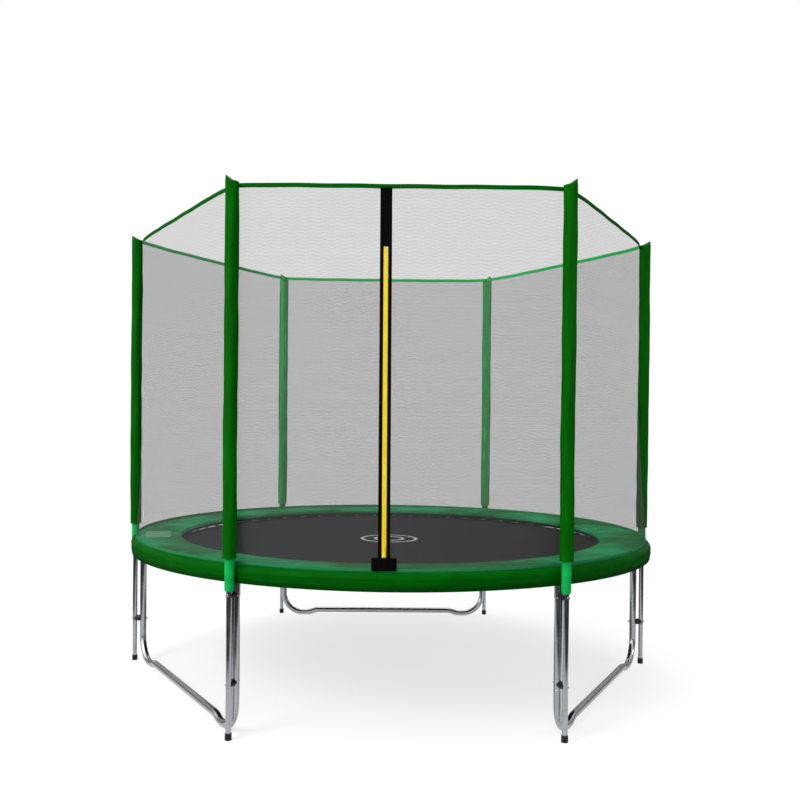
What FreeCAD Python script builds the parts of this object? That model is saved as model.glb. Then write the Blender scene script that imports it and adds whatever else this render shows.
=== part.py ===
import FreeCAD, Part
import Sketcher
import math
import os

from FreeCAD import Placement, Rotation, Vector

# Round backyard trampoline with an outside safety net on six poles.
#
# Three bent legs carry a ring of six curved top rails. Sixty springs stretch the jumping mat inside
# the ring, and a padded cover lies over the springs. Each leg upright has a net pole bolted to its
# outside. The net hangs from the poles in fabric sleeves and opens in front with a zip.
#
# Millimetres, +Z up, origin on the ground under the middle of the mat, door towards -Y.
# Poles stand at azimuths 0, 60, ... 300 degrees from +X.

SIZES = [
    # alias, value, meaning
    ("ring_radius", 1506, "middle of the trampoline to the centre of the top rail's tube"),
    ("ring_height", 762, "ground to the centre of the top rail's tube"),
    ("frame_tube_radius", 19, "outside radius of rail and leg tubes"),
    ("tube_wall", 1.5, "wall of every steel tube"),
    ("swage_gap", 0.3, "gap between a swaged end and the tube it plugs into"),
    ("swage_length", 62, "how far a swaged end goes into the next tube"),
    ("neck_length", 6, "length of the step between a tube and its swaged end"),
    ("socket_radius", 21, "outside radius of the socket welded under a top rail"),
    ("socket_bore", 19.3, "inside radius of that socket"),
    ("socket_bottom", 662, "height of the socket's open end"),
    ("rail_lead", 12, "degrees from a socket to the swaged end of its rail"),
    ("hook_hole_radius", 4.5, "hole that a spring's hook drops into"),
    ("hook_hole_inset", 10, "rail's centre to the line of hook holes, inwards"),
    ("spring_pitch", 6, "degrees from spring to spring"),
    ("leg_joint_height", 228, "height of the joint between leg base and leg upright"),
    ("leg_top", 738, "top of the leg upright, inside the socket"),
    ("leg_bend_radius", 140, "centre-line radius of the bend at the foot of a leg"),
    ("leg_rail_rise", 18, "how far the middle of the leg's ground rail is lifted"),
    ("leg_rise_run", 100, "length over which the ground rail is lifted"),
    ("leg_ground_run", 30, "flat stretch that stands on the ground beside each bend"),
    ("lower_bolt_height", 258, "height of the lower pole bolt"),
    ("upper_bolt_height", 669, "height of the upper pole bolt"),
    ("bolt_hole_radius", 3.5, "clearance hole for a pole bolt"),
    ("bolt_radius", 3, "shank of a pole bolt"),
    ("bolt_head_radius", 7, "round head of a pole bolt"),
    ("bolt_head_height", 4, "height of that head"),
    ("nut_corner_radius", 5.8, "hexagon nut, middle to corner"),
    ("nut_height", 6, "thickness of the nut"),
    ("nut_bore", 3.1, "inside radius of the nut"),
    ("saddle_radius", 17, "radius of the round spacer between pole and leg"),
    ("fit_gap", 0.3, "gap between parts that are pushed over each other"),
    ("pole_circle", 1556, "middle of the trampoline to the centre of a pole"),
    ("pole_radius", 13.5, "outside radius of a pole"),
    ("pole_joint_height", 1290, "joint between lower and upper pole"),
    ("pole_top", 2556, "top of the steel pole"),
    ("foot_cap_radius", 16.2, "outside radius of the cap on a pole's foot"),
    ("foot_cap_height", 32, "height of that cap"),
    ("foot_cap_floor", 7, "thickness of its floor"),
    ("top_cap_height", 10, "height of the plug in a pole's top"),
    ("foam_radius", 22.5, "outside radius of the foam round a pole"),
    ("foam_bottom", 688, "lower end of the foam"),
    ("foam_top", 2530, "upper end of the foam"),
    ("sleeve_radius", 33.5, "outside radius of the fabric sleeve"),
    ("sleeve_wall", 2, "wall of the fabric sleeve"),
    ("sleeve_bottom", 840, "lower end of the sleeve"),
    ("sleeve_top", 2575, "top of the sleeve on its low side"),
    ("sleeve_slant", 28, "degrees by which the closed top of the sleeve slants"),
    ("net_foot_radius", 1503, "middle of the trampoline to the foot of the net"),
    ("net_foot_height", 809, "height of the net's foot, on the pad"),
    ("net_top", 2549, "top of the netting, under its hem"),
    ("net_thickness", 1.2, "thickness that stands for the netting"),
    ("net_edge_gap", 35, "pole's centre to the edge of the netting"),
    ("top_hem_height", 22, "height of the strap along the net's top"),
    ("foot_hem_height", 14, "height of the hem at the net's foot"),
    ("hem_thickness", 3, "thickness of both hems"),
    ("door_offset", -70, "zip's centre line from the middle of the front panel"),
    ("door_width", 55, "width of the webbing on both sides of the zip together"),
    ("webbing_thickness", 3, "thickness of the door's webbing"),
    ("zip_width", 20, "width of the yellow zip"),
    ("zip_bottom", 870, "height of the zip's lower end"),
    ("zip_top", 2274, "height of the zip's upper end"),
    ("zip_thickness", 1.6, "thickness of the zip's tapes"),
    ("zip_gap", 3, "gap between the two tapes, where the slider's neck runs"),
    ("flap_width", 113, "width of the flap at the foot of the door"),
    ("flap_height", 58, "height of that flap"),
    ("flap_thickness", 2, "thickness of that flap"),
    ("slider_stop", 34, "zip's lower end to the slider at rest"),
    ("slider_length", 22, "height of the zip's slider"),
    ("slider_width", 13, "width of the slider"),
    ("slider_plate", 2, "thickness of each of the slider's two plates"),
    ("pull_axis_offset", 5.6, "netting's plane to the pivot of a pull tab"),
    ("pull_length", 40, "length of a pull tab"),
    ("pull_width", 9, "width of a pull tab"),
    ("pull_thickness", 1.6, "thickness of a pull tab"),
    ("pull_pin_radius", 0.8, "pivot pin of a pull tab"),
    ("pull_bore", 0.9, "hole for that pin in the slider's lug"),
    ("mat_radius", 1272, "radius of the jumping mat"),
    ("mat_bottom", 756, "underside of the mat"),
    ("mat_thickness", 2, "thickness of the mat"),
    ("edge_band_width", 50, "width of the webbing round the mat's edge"),
    ("edge_band_thickness", 3, "thickness of that webbing"),
    ("ring_wire", 2, "radius of the mat's triangular rings' wire"),
    ("ring_reach", 34, "mat's edge to the outer bar of a triangular ring"),
    ("spring_height", 762, "height of the springs' axis"),
    ("spring_start", 1326, "inner end of a spring's coil"),
    ("spring_end", 1470, "outer end of a spring's coil"),
    ("coil_radius", 11, "outside radius of a spring"),
    ("spring_wire", 1.6, "radius of the spring's wire"),
    ("pad_inner_radius", 1247, "opening of the padded cover"),
    ("pad_outer_radius", 1532.5, "outside of the cover's skirt"),
    ("pad_inner_bottom", 785, "underside of the cover over the springs"),
    ("pad_inner_top", 805, "top of the cover at its opening"),
    ("pad_ring_bottom", 787, "underside of the cover over the rail"),
    ("pad_ring_top", 807, "top of the cover over the rail"),
    ("pad_skirt_bottom", 722, "lower edge of the skirt"),
    ("pad_skirt_wall", 4.5, "thickness of the skirt"),
    ("pad_shoulder_radius", 24, "rounding of the cover's shoulder"),
    ("tie_width", 15, "width of an elastic tie"),
    ("tie_wall", 1.3, "thickness of an elastic tie"),
]

POLES = 6
SPRINGS_PER_RAIL = 10
ALONG_X = Rotation(Vector(0, 1, 0), 90)
ALONG_Y = Rotation(Vector(1, 0, 0), -90)
UP = Vector(0, 0, 1)
OVERRUN = 1.0  # how far a cutting tool runs past the face it cuts

doc = FreeCAD.newDocument("trampoline")
sheet = doc.addObject("Spreadsheet::Sheet", "sizes")
for row, (alias, value, meaning) in enumerate(SIZES, start=1):
    sheet.set(f"A{row}", alias)
    sheet.set(f"B{row}", str(value))
    sheet.set(f"C{row}", meaning)
    sheet.setAlias(f"B{row}", alias)
doc.recompute()

nodes = []


# ---------------------------------------------------------------- helpers


def full(expression):
    """Writes an expression on bare aliases, such as "leg_top + 2", as the document reads it."""
    words = "".join(c if c.isalnum() or c == "_" else " " for c in str(expression)).split()
    known = {alias for alias, _, _ in SIZES}
    text = f" {expression} "
    for word in sorted(set(words) & known, key=len, reverse=True):
        parts = text.split(word)
        joined = parts[0]
        for part in parts[1:]:
            before, after = joined[-1], part[0]
            inside_a_word = before.isalnum() or before in "_." or after.isalnum() or after == "_"
            joined += (word if inside_a_word else "sizes." + word) + part
        text = joined
    return text.strip()


def size(expression):
    """The number that an expression on the sheet's aliases has."""
    return float(sheet.evalExpression(full(expression)))


def bind(item, **properties):
    """Binds an object's properties to expressions on the sheet."""
    for name, expression in properties.items():
        item.setExpression(name, full(expression))
    return item


def polar(azimuth, radius=0.0, height=0.0, turn=Rotation()):
    """A placement out along an azimuth, with the piece's own X axis pointing outwards."""
    spin = Rotation(UP, azimuth)
    return Placement(spin.multVec(Vector(radius, 0, height)), spin * turn)


def spot(azimuth, radius, height, turn=Rotation()):
    """The same, with the radius and the height written as expressions on the sheet."""
    return polar(azimuth, size(radius), size(height), turn)


def placed(item, placement):
    item.Placement = placement
    return item


def cylinder(radius, height, placement):
    item = doc.addObject("Part::Cylinder", "cylinder")
    bind(item, Radius=radius, Height=height)
    return placed(item, placement)


def box(length, width, height, placement):
    item = doc.addObject("Part::Box", "box")
    bind(item, Length=length, Width=width, Height=height)
    return placed(item, placement)


def arc_bar(radius, sweep, start):
    """A round bar bent to the ring's radius, sweeping from the azimuth start."""
    item = doc.addObject("Part::Torus", "arc_bar")
    bind(item, Radius1="ring_radius", Radius2=radius, Angle3=sweep)
    return placed(item, polar(start, 0, size("ring_height")))


def fuse(*items):
    if len(items) == 1:
        return items[0]
    item = doc.addObject("Part::MultiFuse", "fuse")
    item.Shapes = list(items)
    return item


def cut(base, *tools):
    item = doc.addObject("Part::Cut", "cut")
    item.Base = base
    item.Tool = fuse(*tools)
    return item


def node(label, *items):
    """Names a sub-part. Several separate solids become one compound."""
    item = items[0]
    if len(items) > 1:
        item = doc.addObject("Part::Compound", label)
        item.Links = list(items)
    item.Label = label
    nodes.append(item)
    return item


def shape_node(label, shape):
    """A sub-part whose shape is worked out in this file."""
    item = doc.addObject("Part::Feature", label)
    item.Shape = shape
    item.Placement = Placement()
    item.Label = label
    nodes.append(item)
    return item


def turned_body(label, outline):
    """A body turned about Z from a closed outline of (radius, height) expressions."""
    body = doc.addObject("PartDesign::Body", label)
    sketch = body.newObject("Sketcher::SketchObject", label + "_outline")
    plane = next(f for f in body.Origin.OriginFeatures if f.Role == "XZ_Plane")
    sketch.AttachmentSupport = [(plane, "")]
    sketch.MapMode = "FlatFace"
    corners = [Vector(size(r), size(z), 0) for r, z in outline]
    count = len(corners)
    for i in range(count):
        sketch.addGeometry(Part.LineSegment(corners[i], corners[(i + 1) % count]), False)
    for i in range(count):
        sketch.addConstraint(Sketcher.Constraint("Coincident", i, 2, (i + 1) % count, 1))
    for i, (radius, height) in enumerate(outline):
        for kind, expression in (("DistanceX", radius), ("DistanceY", height)):
            index = sketch.addConstraint(Sketcher.Constraint(kind, -1, 1, i, 1, size(expression)))
            sketch.setExpression(f"Constraints[{index}]", full(expression))
    turn = body.newObject("PartDesign::Revolution", label + "_turn")
    turn.Profile = sketch
    turn.ReferenceAxis = (sketch, ["V_Axis"])
    turn.Angle = 360
    body.Tip = turn
    body.Label = label
    return body


def rod(points, radius):
    """A round wire through points in the XZ plane, with ball corners."""
    pieces = []
    for a, b in zip(points, points[1:]):
        start, along = Vector(a[0], a[1], a[2]), Vector(b[0] - a[0], b[1] - a[1], b[2] - a[2])
        pieces.append(Part.makeCylinder(radius, along.Length, start, along))
        pieces.append(Part.makeSphere(radius, start + along))
    return pieces[0].multiFuse(pieces[1:]).removeSplitter()


def round_the_ring(shape, count, first):
    """Copies of a shape at equal steps round the middle, as one compound."""
    copies = []
    for i in range(count):
        copy = shape.copy()
        copy.rotate(Vector(0, 0, 0), UP, first + 360.0 / count * i)
        copies.append(copy)
    return Part.makeCompound(copies)

# ---------------------------------------------------------------- top ring

BOLT_HEIGHTS = ("lower_bolt_height", "upper_bolt_height")
SWAGE_SWEEP = math.degrees(size("swage_length") / size("ring_radius"))
SCREW_LEAD = SWAGE_SWEEP / 2


def radial_hole(azimuth, height):
    """A tool for the bolt hole through a pole, its spacer and the leg."""
    return cylinder(
        "bolt_hole_radius",
        "pole_circle - ring_radius + 4 * frame_tube_radius",
        spot(azimuth, "ring_radius - 2 * frame_tube_radius", height, ALONG_X),
    )


def top_rail(number, azimuth):
    """One sixth of the ring: curved tube, welded leg socket, hook holes and a swaged end."""
    end = azimuth + size("rail_lead")
    start = end - 60
    neck_sweep = 1.0
    bore = "frame_tube_radius - tube_wall"
    plug = "frame_tube_radius - tube_wall - swage_gap"
    socket_start = spot(azimuth, "ring_radius", "socket_bottom")
    solid = fuse(
        arc_bar("frame_tube_radius", "60", start),
        arc_bar(plug, f"{SWAGE_SWEEP + neck_sweep}", end - neck_sweep),
        cylinder("socket_radius", "ring_height - socket_bottom", socket_start),
    )
    tools = [
        arc_bar(bore, f"{60 - neck_sweep + 0.1}", start - 0.1),
        arc_bar(plug + " - tube_wall", f"{SWAGE_SWEEP + neck_sweep + 0.2}", end - neck_sweep - 0.1),
        cylinder(
            "socket_bore",
            "ring_height - frame_tube_radius - socket_bottom",
            polar(azimuth, size("ring_radius"), size("socket_bottom") - OVERRUN),
        ),
        radial_hole(azimuth, "upper_bolt_height"),
    ]
    for lead in (start + SCREW_LEAD, end + SCREW_LEAD):
        at = polar(lead, size("ring_radius"), size("ring_height - frame_tube_radius") - OVERRUN)
        tools.append(cylinder("2.6", "9", at))
    for i in range(SPRINGS_PER_RAIL):
        hole = start + size("spring_pitch") * (i + 0.5)
        at = spot(hole, "ring_radius - hook_hole_inset", "ring_height")
        tools.append(cylinder("hook_hole_radius", "2 * frame_tube_radius", at))
    node(f"top_rail_{number}", cut(solid, *tools))


def rail_screw(azimuth):
    """The screw that locks two rails together, from below."""
    lead = azimuth + size("rail_lead") + SCREW_LEAD
    bottom = size("ring_height - frame_tube_radius") - 0.4
    return fuse(
        cylinder("5", "3", polar(lead, size("ring_radius"), bottom - 3)),
        cylinder("2.3", "9", polar(lead, size("ring_radius"), bottom)),
    )


# ---------------------------------------------------------------- legs and poles


def swaged_end(radius, bottom, top, place):
    """The narrowed end of a tube, with the step that joins it to the tube."""
    bore = f"{radius} - tube_wall"
    plug = f"{radius} - tube_wall - swage_gap"
    length = f"{top} - {bottom} + neck_length"
    low = size(f"{bottom} - neck_length")
    start = Placement(Vector(place.Base.x, place.Base.y, low), Rotation())
    under = Placement(Vector(place.Base.x, place.Base.y, low - OVERRUN), Rotation())
    solid = fuse(cylinder(f"{bore} + 0.2", "neck_length", start), cylinder(plug, length, start))
    return cut(solid, cylinder(f"{plug} - tube_wall", length + " + 2", under))


def upright_tube(radius, bottom, top, at):
    """A plain standing tube."""
    low = Placement(Vector(at.x, at.y, size(bottom)), Rotation())
    under = Placement(Vector(at.x, at.y, size(bottom) - OVERRUN), Rotation())
    return cut(
        cylinder(radius, f"{top} - ({bottom})", low),
        cylinder(f"{radius} - tube_wall", f"{top} - ({bottom}) + 2", under),
    )


def leg_upright(number, azimuth):
    at = polar(azimuth, size("ring_radius")).Base
    tube = upright_tube("frame_tube_radius", "leg_joint_height", "leg_top", at)
    node(f"leg_upright_{number}", cut(tube, *[radial_hole(azimuth, h) for h in BOLT_HEIGHTS]))


def leg_path():
    """The centre line of a leg base in its own XZ plane: down, round the bend, along and up again."""
    half = size("ring_radius") / 2
    low, bend = size("frame_tube_radius"), size("leg_bend_radius")
    run, rise = size("leg_rise_run"), size("leg_rail_rise")
    ground_end = half - bend - size("leg_ground_run")
    rail_end = ground_end - run
    turn = 2 * math.atan(rise / run)
    curve = run / 2 / math.sin(turn)
    across, up = curve * math.sin(turn / 2), curve * (1 - math.cos(turn / 2))
    middle = Vector((ground_end + rail_end) / 2, 0, low + rise / 2)

    def side(sign):
        """Points and arc middles of one half, from the joint to the straight rail."""
        slack = bend * (1 - math.sqrt(0.5))
        near = Vector(sign * (ground_end - across), 0, low + up)
        far = Vector(sign * (rail_end + across), 0, low + rise - up)
        top = Vector(sign * half, 0, size("leg_joint_height"))
        bend_top = Vector(sign * half, 0, low + bend)
        bend_mid = Vector(sign * (half - slack), 0, low + slack)
        bend_end = Vector(sign * (half - bend), 0, low)
        start = Vector(sign * ground_end, 0, low)
        centre = Vector(sign * middle.x, 0, middle.z)
        rail = Vector(sign * rail_end, 0, low + rise)
        return [
            Part.LineSegment(top, bend_top),
            Part.Arc(bend_top, bend_mid, bend_end),
            Part.LineSegment(bend_end, start),
            Part.Arc(start, near, centre),
            Part.Arc(centre, far, rail),
        ], rail

    left, left_rail = side(-1)
    right, right_rail = side(1)
    edges = [e.toShape() for e in left]
    edges.append(Part.LineSegment(left_rail, right_rail).toShape())
    edges += [e.toShape() for e in reversed(right)]
    return Part.Wire(edges)


def swept(radius, spine):
    """A solid round bar along the leg's centre line."""
    ring = doc.addObject("Part::Circle", "section")
    bind(ring, Radius=radius)
    ring.Placement = Placement(Vector(-size("ring_radius") / 2, 0, size("leg_joint_height")), Rotation())
    bar = doc.addObject("Part::Sweep", "bar")
    bar.Sections = [ring]
    bar.Spine = (spine, [f"Edge{i + 1}" for i in range(len(spine.Shape.Edges))])
    bar.Solid = True
    bar.Frenet = False
    return bar


def leg_base(label, middle_azimuth):
    """The bent foot of a leg, from swaged end to swaged end, turned into place at the end."""
    spine = doc.addObject("Part::Feature", "leg_centre_line")
    spine.Shape = leg_path()
    tube = cut(swept("frame_tube_radius", spine), swept("frame_tube_radius - tube_wall", spine))
    ends = []
    joint, plug_top = "leg_joint_height", "leg_joint_height + swage_length"
    for sign in (-1, 1):
        place = Placement(Vector(sign * size("ring_radius") / 2, 0, 0), Rotation())
        ends.append(swaged_end("frame_tube_radius", joint, plug_top, place))
    # The leg's own plane is y = 0. A bolt points outwards, 30 degrees off the plane's normal.
    holes = []
    for sign in (-1, 1):
        turn = Rotation(UP, 90 - 30 * sign) * ALONG_X
        half = size("2 * frame_tube_radius")
        at = Vector(sign * size("ring_radius") / 2, 0, size("lower_bolt_height"))
        start = at - turn.multVec(UP) * half
        holes.append(cylinder("bolt_hole_radius", "4 * frame_tube_radius", Placement(start, turn)))
    whole = cut(fuse(tube, *ends), *holes)
    out = size("ring_radius") * math.cos(math.radians(30))
    whole.Placement = polar(middle_azimuth, out, 0, Rotation(UP, -90))
    node(label, whole)


def pole(number, azimuth):
    """A net pole in two lengths, the lower one with a swaged upper end."""
    at = polar(azimuth, size("pole_circle")).Base
    joint, plug_top = "pole_joint_height", "pole_joint_height + swage_length"
    lower = upright_tube("pole_radius", "foot_cap_floor + 0.5", joint, at)
    swage = swaged_end("pole_radius", joint, plug_top, Placement(at, Rotation()))
    node(f"pole_lower_{number}", cut(fuse(lower, swage), *[radial_hole(azimuth, h) for h in BOLT_HEIGHTS]))
    node(f"pole_upper_{number}", upright_tube("pole_radius", "pole_joint_height + 0.2", "pole_top", at))


def foot_cap(azimuth):
    at = polar(azimuth, size("pole_circle"))
    inside = spot(azimuth, "pole_circle", "foot_cap_floor")
    cup = cylinder("foot_cap_radius", "foot_cap_height", at)
    return cut(cup, cylinder("pole_radius + fit_gap", "foot_cap_height", inside))


def top_cap(azimuth):
    """A plug with a flange that closes a pole's upper end."""
    top = polar(azimuth, size("pole_circle"), size("pole_top") + 0.2)
    inside = polar(azimuth, size("pole_circle"), size("pole_top") - 20)
    flange = cylinder("pole_radius + 0.5", "top_cap_height", top)
    return fuse(flange, cylinder("pole_radius - tube_wall - fit_gap", "21", inside))


def saddle(azimuth, height, leg_radius):
    """The hollow-ended spacer between a pole and its leg."""
    low, tall = size(height) - 30, "60"
    block_start = spot(azimuth, "ring_radius", height, ALONG_X)
    return cut(
        cylinder("saddle_radius", "pole_circle - ring_radius", block_start),
        cylinder("pole_radius + fit_gap", tall, polar(azimuth, size("pole_circle"), low)),
        cylinder(f"{leg_radius} + fit_gap", tall, polar(azimuth, size("ring_radius"), low)),
        radial_hole(azimuth, height),
    )


def bolt(azimuth, height):
    """Round-headed bolt, head outside the pole and thread end inside the leg."""
    inner = "ring_radius - socket_radius - nut_height - 4"
    length = f"pole_circle + pole_radius + 2 - ({inner})"
    head = spot(azimuth, "pole_circle + pole_radius + fit_gap", height, ALONG_X)
    return fuse(
        cylinder("bolt_radius", length, spot(azimuth, inner, height, ALONG_X)),
        cylinder("bolt_head_radius", "bolt_head_height", head),
    )


def nut(azimuth, height, leg_radius):
    inner = size(f"ring_radius - {leg_radius} - fit_gap - nut_height")
    hexagon = doc.addObject("Part::Prism", "hexagon")
    hexagon.Polygon = 6
    bind(hexagon, Circumradius="nut_corner_radius", Height="nut_height")
    placed(hexagon, polar(azimuth, inner, size(height), ALONG_X))
    bore_start = polar(azimuth, inner - OVERRUN, size(height), ALONG_X)
    return cut(hexagon, cylinder("nut_bore", "nut_height + 2", bore_start))


# ---------------------------------------------------------------- foam, sleeves, net


def foam_tube(azimuth):
    low = spot(azimuth, "pole_circle", "foam_bottom")
    under = polar(azimuth, size("pole_circle"), size("foam_bottom") - OVERRUN)
    return cut(
        cylinder("foam_radius", "foam_top - foam_bottom", low),
        cylinder("pole_radius + fit_gap", "foam_top - foam_bottom + 2", under),
    )


# which way the closed top of each sleeve rises; the others rise straight outwards
SLEEVE_RISE = {60: 30, 120: 150, 240: 210, 300: 330}


def net_sleeve(azimuth):
    """A fabric tube with a closed top that slants up, outwards and to the side."""
    reach = size("sleeve_radius")
    low = spot(azimuth, "pole_circle", "sleeve_bottom")
    under = polar(azimuth, size("pole_circle"), size("sleeve_bottom") - OVERRUN)
    slant = Rotation(Vector(0, 1, 0), -size("sleeve_slant"))
    axis = Placement(polar(azimuth, size("pole_circle")).Base, Rotation())
    inner_top = axis * polar(SLEEVE_RISE.get(azimuth, azimuth), -reach, size("sleeve_top"), slant)
    corner = Placement(Vector(-reach, -2 * reach, 0), Rotation())
    return cut(
        cylinder("sleeve_radius", "sleeve_top - sleeve_bottom + 2 * sleeve_radius", low),
        cylinder("sleeve_radius - sleeve_wall", "pole_top + top_cap_height + 6 - sleeve_bottom", under),
        box("6 * sleeve_radius", "4 * sleeve_radius", "4 * sleeve_radius", inner_top * corner),
    )


CHORD_RADIUS = size("pole_circle") * math.cos(math.radians(30))
CHORD_HALF = size("pole_circle") / 2
NET_BOTTOM = size("net_foot_height + foot_hem_height")


def net_panel(label, middle, top_span, foot_span):
    """Netting between two poles: straight along its top, on the ring's curve at its foot.

    Spans are distances along the panel from its middle line, to the low and the high azimuth.
    """
    radial = Rotation(UP, middle).multVec(Vector(1, 0, 0))
    along = Rotation(UP, middle).multVec(Vector(0, 1, 0))
    half = size("net_thickness") / 2

    def foot(span, offset):
        radius = size("net_foot_radius") + offset
        angle = math.asin(span / radius)
        return (radial * math.cos(angle) + along * math.sin(angle)) * radius + UP * NET_BOTTOM

    def top(span, offset):
        return radial * (CHORD_RADIUS + offset) + along * span + UP * size("net_top")

    def loop(point, curved):
        a, b = (top_span, foot_span)[curved]
        middle_span = (a + b) / 2
        corners = [point(a, half), point(b, half), point(b, -half), point(a, -half)]
        outer = Part.LineSegment(corners[0], corners[1])
        inner = Part.LineSegment(corners[2], corners[3])
        if curved:
            outer = Part.Arc(corners[0], point(middle_span, half), corners[1])
            inner = Part.Arc(corners[2], point(middle_span, -half), corners[3])
        ends = [Part.LineSegment(corners[1], corners[2]), Part.LineSegment(corners[3], corners[0])]
        return Part.Wire([e.toShape() for e in (outer, ends[0], inner, ends[1])])

    shape_node(label, Part.makeLoft([loop(foot, True), loop(top, False)], True, True))


def top_strap(middle):
    """The strap along the top of one panel."""
    length = 2 * (CHORD_HALF - size("net_edge_gap"))
    start = Vector(CHORD_RADIUS - size("hem_thickness") / 2, -length / 2, size("net_top"))
    return box("hem_thickness", f"{length}", "top_hem_height", polar(middle) * Placement(start, Rotation()))


# ---------------------------------------------------------------- door

FOOT_Y = math.sqrt(size("net_foot_radius") ** 2 - size("door_offset") ** 2)
LEAN = math.degrees(math.atan2(FOOT_Y - CHORD_RADIUS, size("net_top") - NET_BOTTOM))
DOOR = Placement(Vector(size("door_offset"), -FOOT_Y, NET_BOTTOM), Rotation(Vector(1, 0, 0), -LEAN))
RISE = math.cos(math.radians(LEAN))


def up_the_door(height):
    """Distance along the leaning door from the net's foot to a height above ground."""
    return (size(height) - NET_BOTTOM) / RISE


def door_box(left, right, outside, inside, low, high):
    """A box in the door's own frame: across, from its outer to its inner face, and up."""
    corner = Placement(Vector(left, -outside, low), Rotation())
    return box(f"{right - left}", f"{outside - inside}", f"{high - low}", DOOR * corner)


def door_webbing(label, side):
    """One black band: narrow beside the zip, up to the middle line above and below it."""
    edge, half = size("door_width") / 2, size("webbing_thickness") / 2
    zip_edge = size("zip_width") / 2
    low, high = up_the_door("zip_bottom"), up_the_door("zip_top")
    ends = [edge * side, 0.2 * side]
    band = door_box(min(ends), max(ends), half, -half, 0.2, up_the_door("net_top") - 0.3)
    notch_ends = [(zip_edge + 0.2) * side, -0.2 * side]
    notch = door_box(min(notch_ends), max(notch_ends), half + 1, -half - 1, low - 0.3, high + 0.3)
    node(label, cut(band, notch))


def zip_tape(label, side):
    ends = [size("zip_width") / 2 * side, size("zip_gap") / 2 * side]
    half = size("zip_thickness") / 2
    low, high = up_the_door("zip_bottom"), up_the_door("zip_top")
    node(label, door_box(min(ends), max(ends), half, -half, low, high))


SLIDER_LOW = up_the_door("zip_bottom") + size("slider_stop")
PIVOT_UP = SLIDER_LOW + size("slider_length") * 0.45


def zip_slider():
    """Two plates joined by a neck that runs between the tapes, with a lug for each pull."""
    half_width, length = size("slider_width") / 2, size("slider_length")
    near = size("zip_thickness") / 2 + 0.3
    far = near + size("slider_plate")
    lug_out = size("pull_axis_offset") + 1.6
    pieces = [
        door_box(-half_width, half_width, far, near, SLIDER_LOW, SLIDER_LOW + length),
        door_box(-half_width, half_width, -near, -far, SLIDER_LOW, SLIDER_LOW + length),
        door_box(-1.1, 1.1, near + 0.5, -near - 0.5, SLIDER_LOW + 6, SLIDER_LOW + length - 4),
        door_box(-1.7, 1.7, lug_out, far - 0.5, PIVOT_UP - 3, PIVOT_UP + 3),
        door_box(-1.7, 1.7, -far + 0.5, -lug_out, PIVOT_UP - 3, PIVOT_UP + 3),
    ]
    bores = []
    for side in (1, -1):
        bore_start = Placement(Vector(-3, -side * size("pull_axis_offset"), PIVOT_UP), ALONG_X)
        bores.append(cylinder("pull_bore", "6", DOOR * bore_start))
    node("zip_slider", cut(fuse(*pieces), *bores))


def zip_pull(label, side, swing):
    """A pull tab hanging from its pin, outside the net (side 1) or inside it (side -1).

    The swing turns the tab about its pin, from lying along the net, in degrees.
    """
    pivot = Placement(Vector(0, -side * size("pull_axis_offset"), PIVOT_UP), Rotation(Vector(1, 0, 0), swing))
    half, half_width, tab_top = size("pull_thickness") / 2, size("pull_width") / 2, -4.5

    def slab(left, right, low, high):
        corner = Placement(Vector(left, -half, low), Rotation())
        return box(f"{right - left}", "pull_thickness", f"{high - low}", DOOR * pivot * corner)

    pin_start = Placement(Vector(-3.8, 0, 0), ALONG_X)
    node(
        label,
        fuse(
            slab(-half_width, half_width, -size("pull_length"), tab_top),
            slab(-3.8, -2.2, tab_top - 0.5, 1.2),
            slab(2.2, 3.8, tab_top - 0.5, 1.2),
            cylinder("pull_pin_radius", "7.6", DOOR * pivot * pin_start),
        ),
    )


# ---------------------------------------------------------------- mat, springs and pad


def mat_ring_shape():
    """A flat-nosed triangular wire ring sewn into the mat's edge band."""
    inner, outer = size("mat_radius - 8"), size("mat_radius + ring_reach")
    height = size("mat_bottom + mat_thickness")
    corners = [(inner, -17, height), (outer, -7, height), (outer, 7, height), (inner, 17, height)]
    return rod(corners + corners[:1], size("ring_wire"))


def spring_shape():
    """A stand-in for a tension spring: a thick tube with a wire hook at each end."""
    height, wire, coil = size("spring_height"), size("spring_wire"), size("coil_radius")
    start, end = size("spring_start"), size("spring_end")
    along = Vector(1, 0, 0)
    bore = coil - 2 * wire
    body = Part.makeCylinder(coil, end - start, Vector(start, 0, height), along)
    body = body.cut(Part.makeCylinder(bore, end - start - 8, Vector(start + 4, 0, height), along))
    ring_hole = size("mat_radius + ring_reach - ring_wire - spring_wire") - 0.9
    rail_hole = size("ring_radius - hook_hole_inset")
    inner = [(start + 2, 0, height), (start - 6, 0, height + 4), (ring_hole, 0, height + 4)]
    inner.append((ring_hole, 0, height - 12))
    outer = [(end - 2, 0, height), (end + 5, 0, height + 22), (rail_hole, 0, height + 22)]
    outer.append((rail_hole, 0, height + 6))
    return body.multiFuse([rod(inner, wire), rod(outer, wire)]).removeSplitter()


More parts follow.
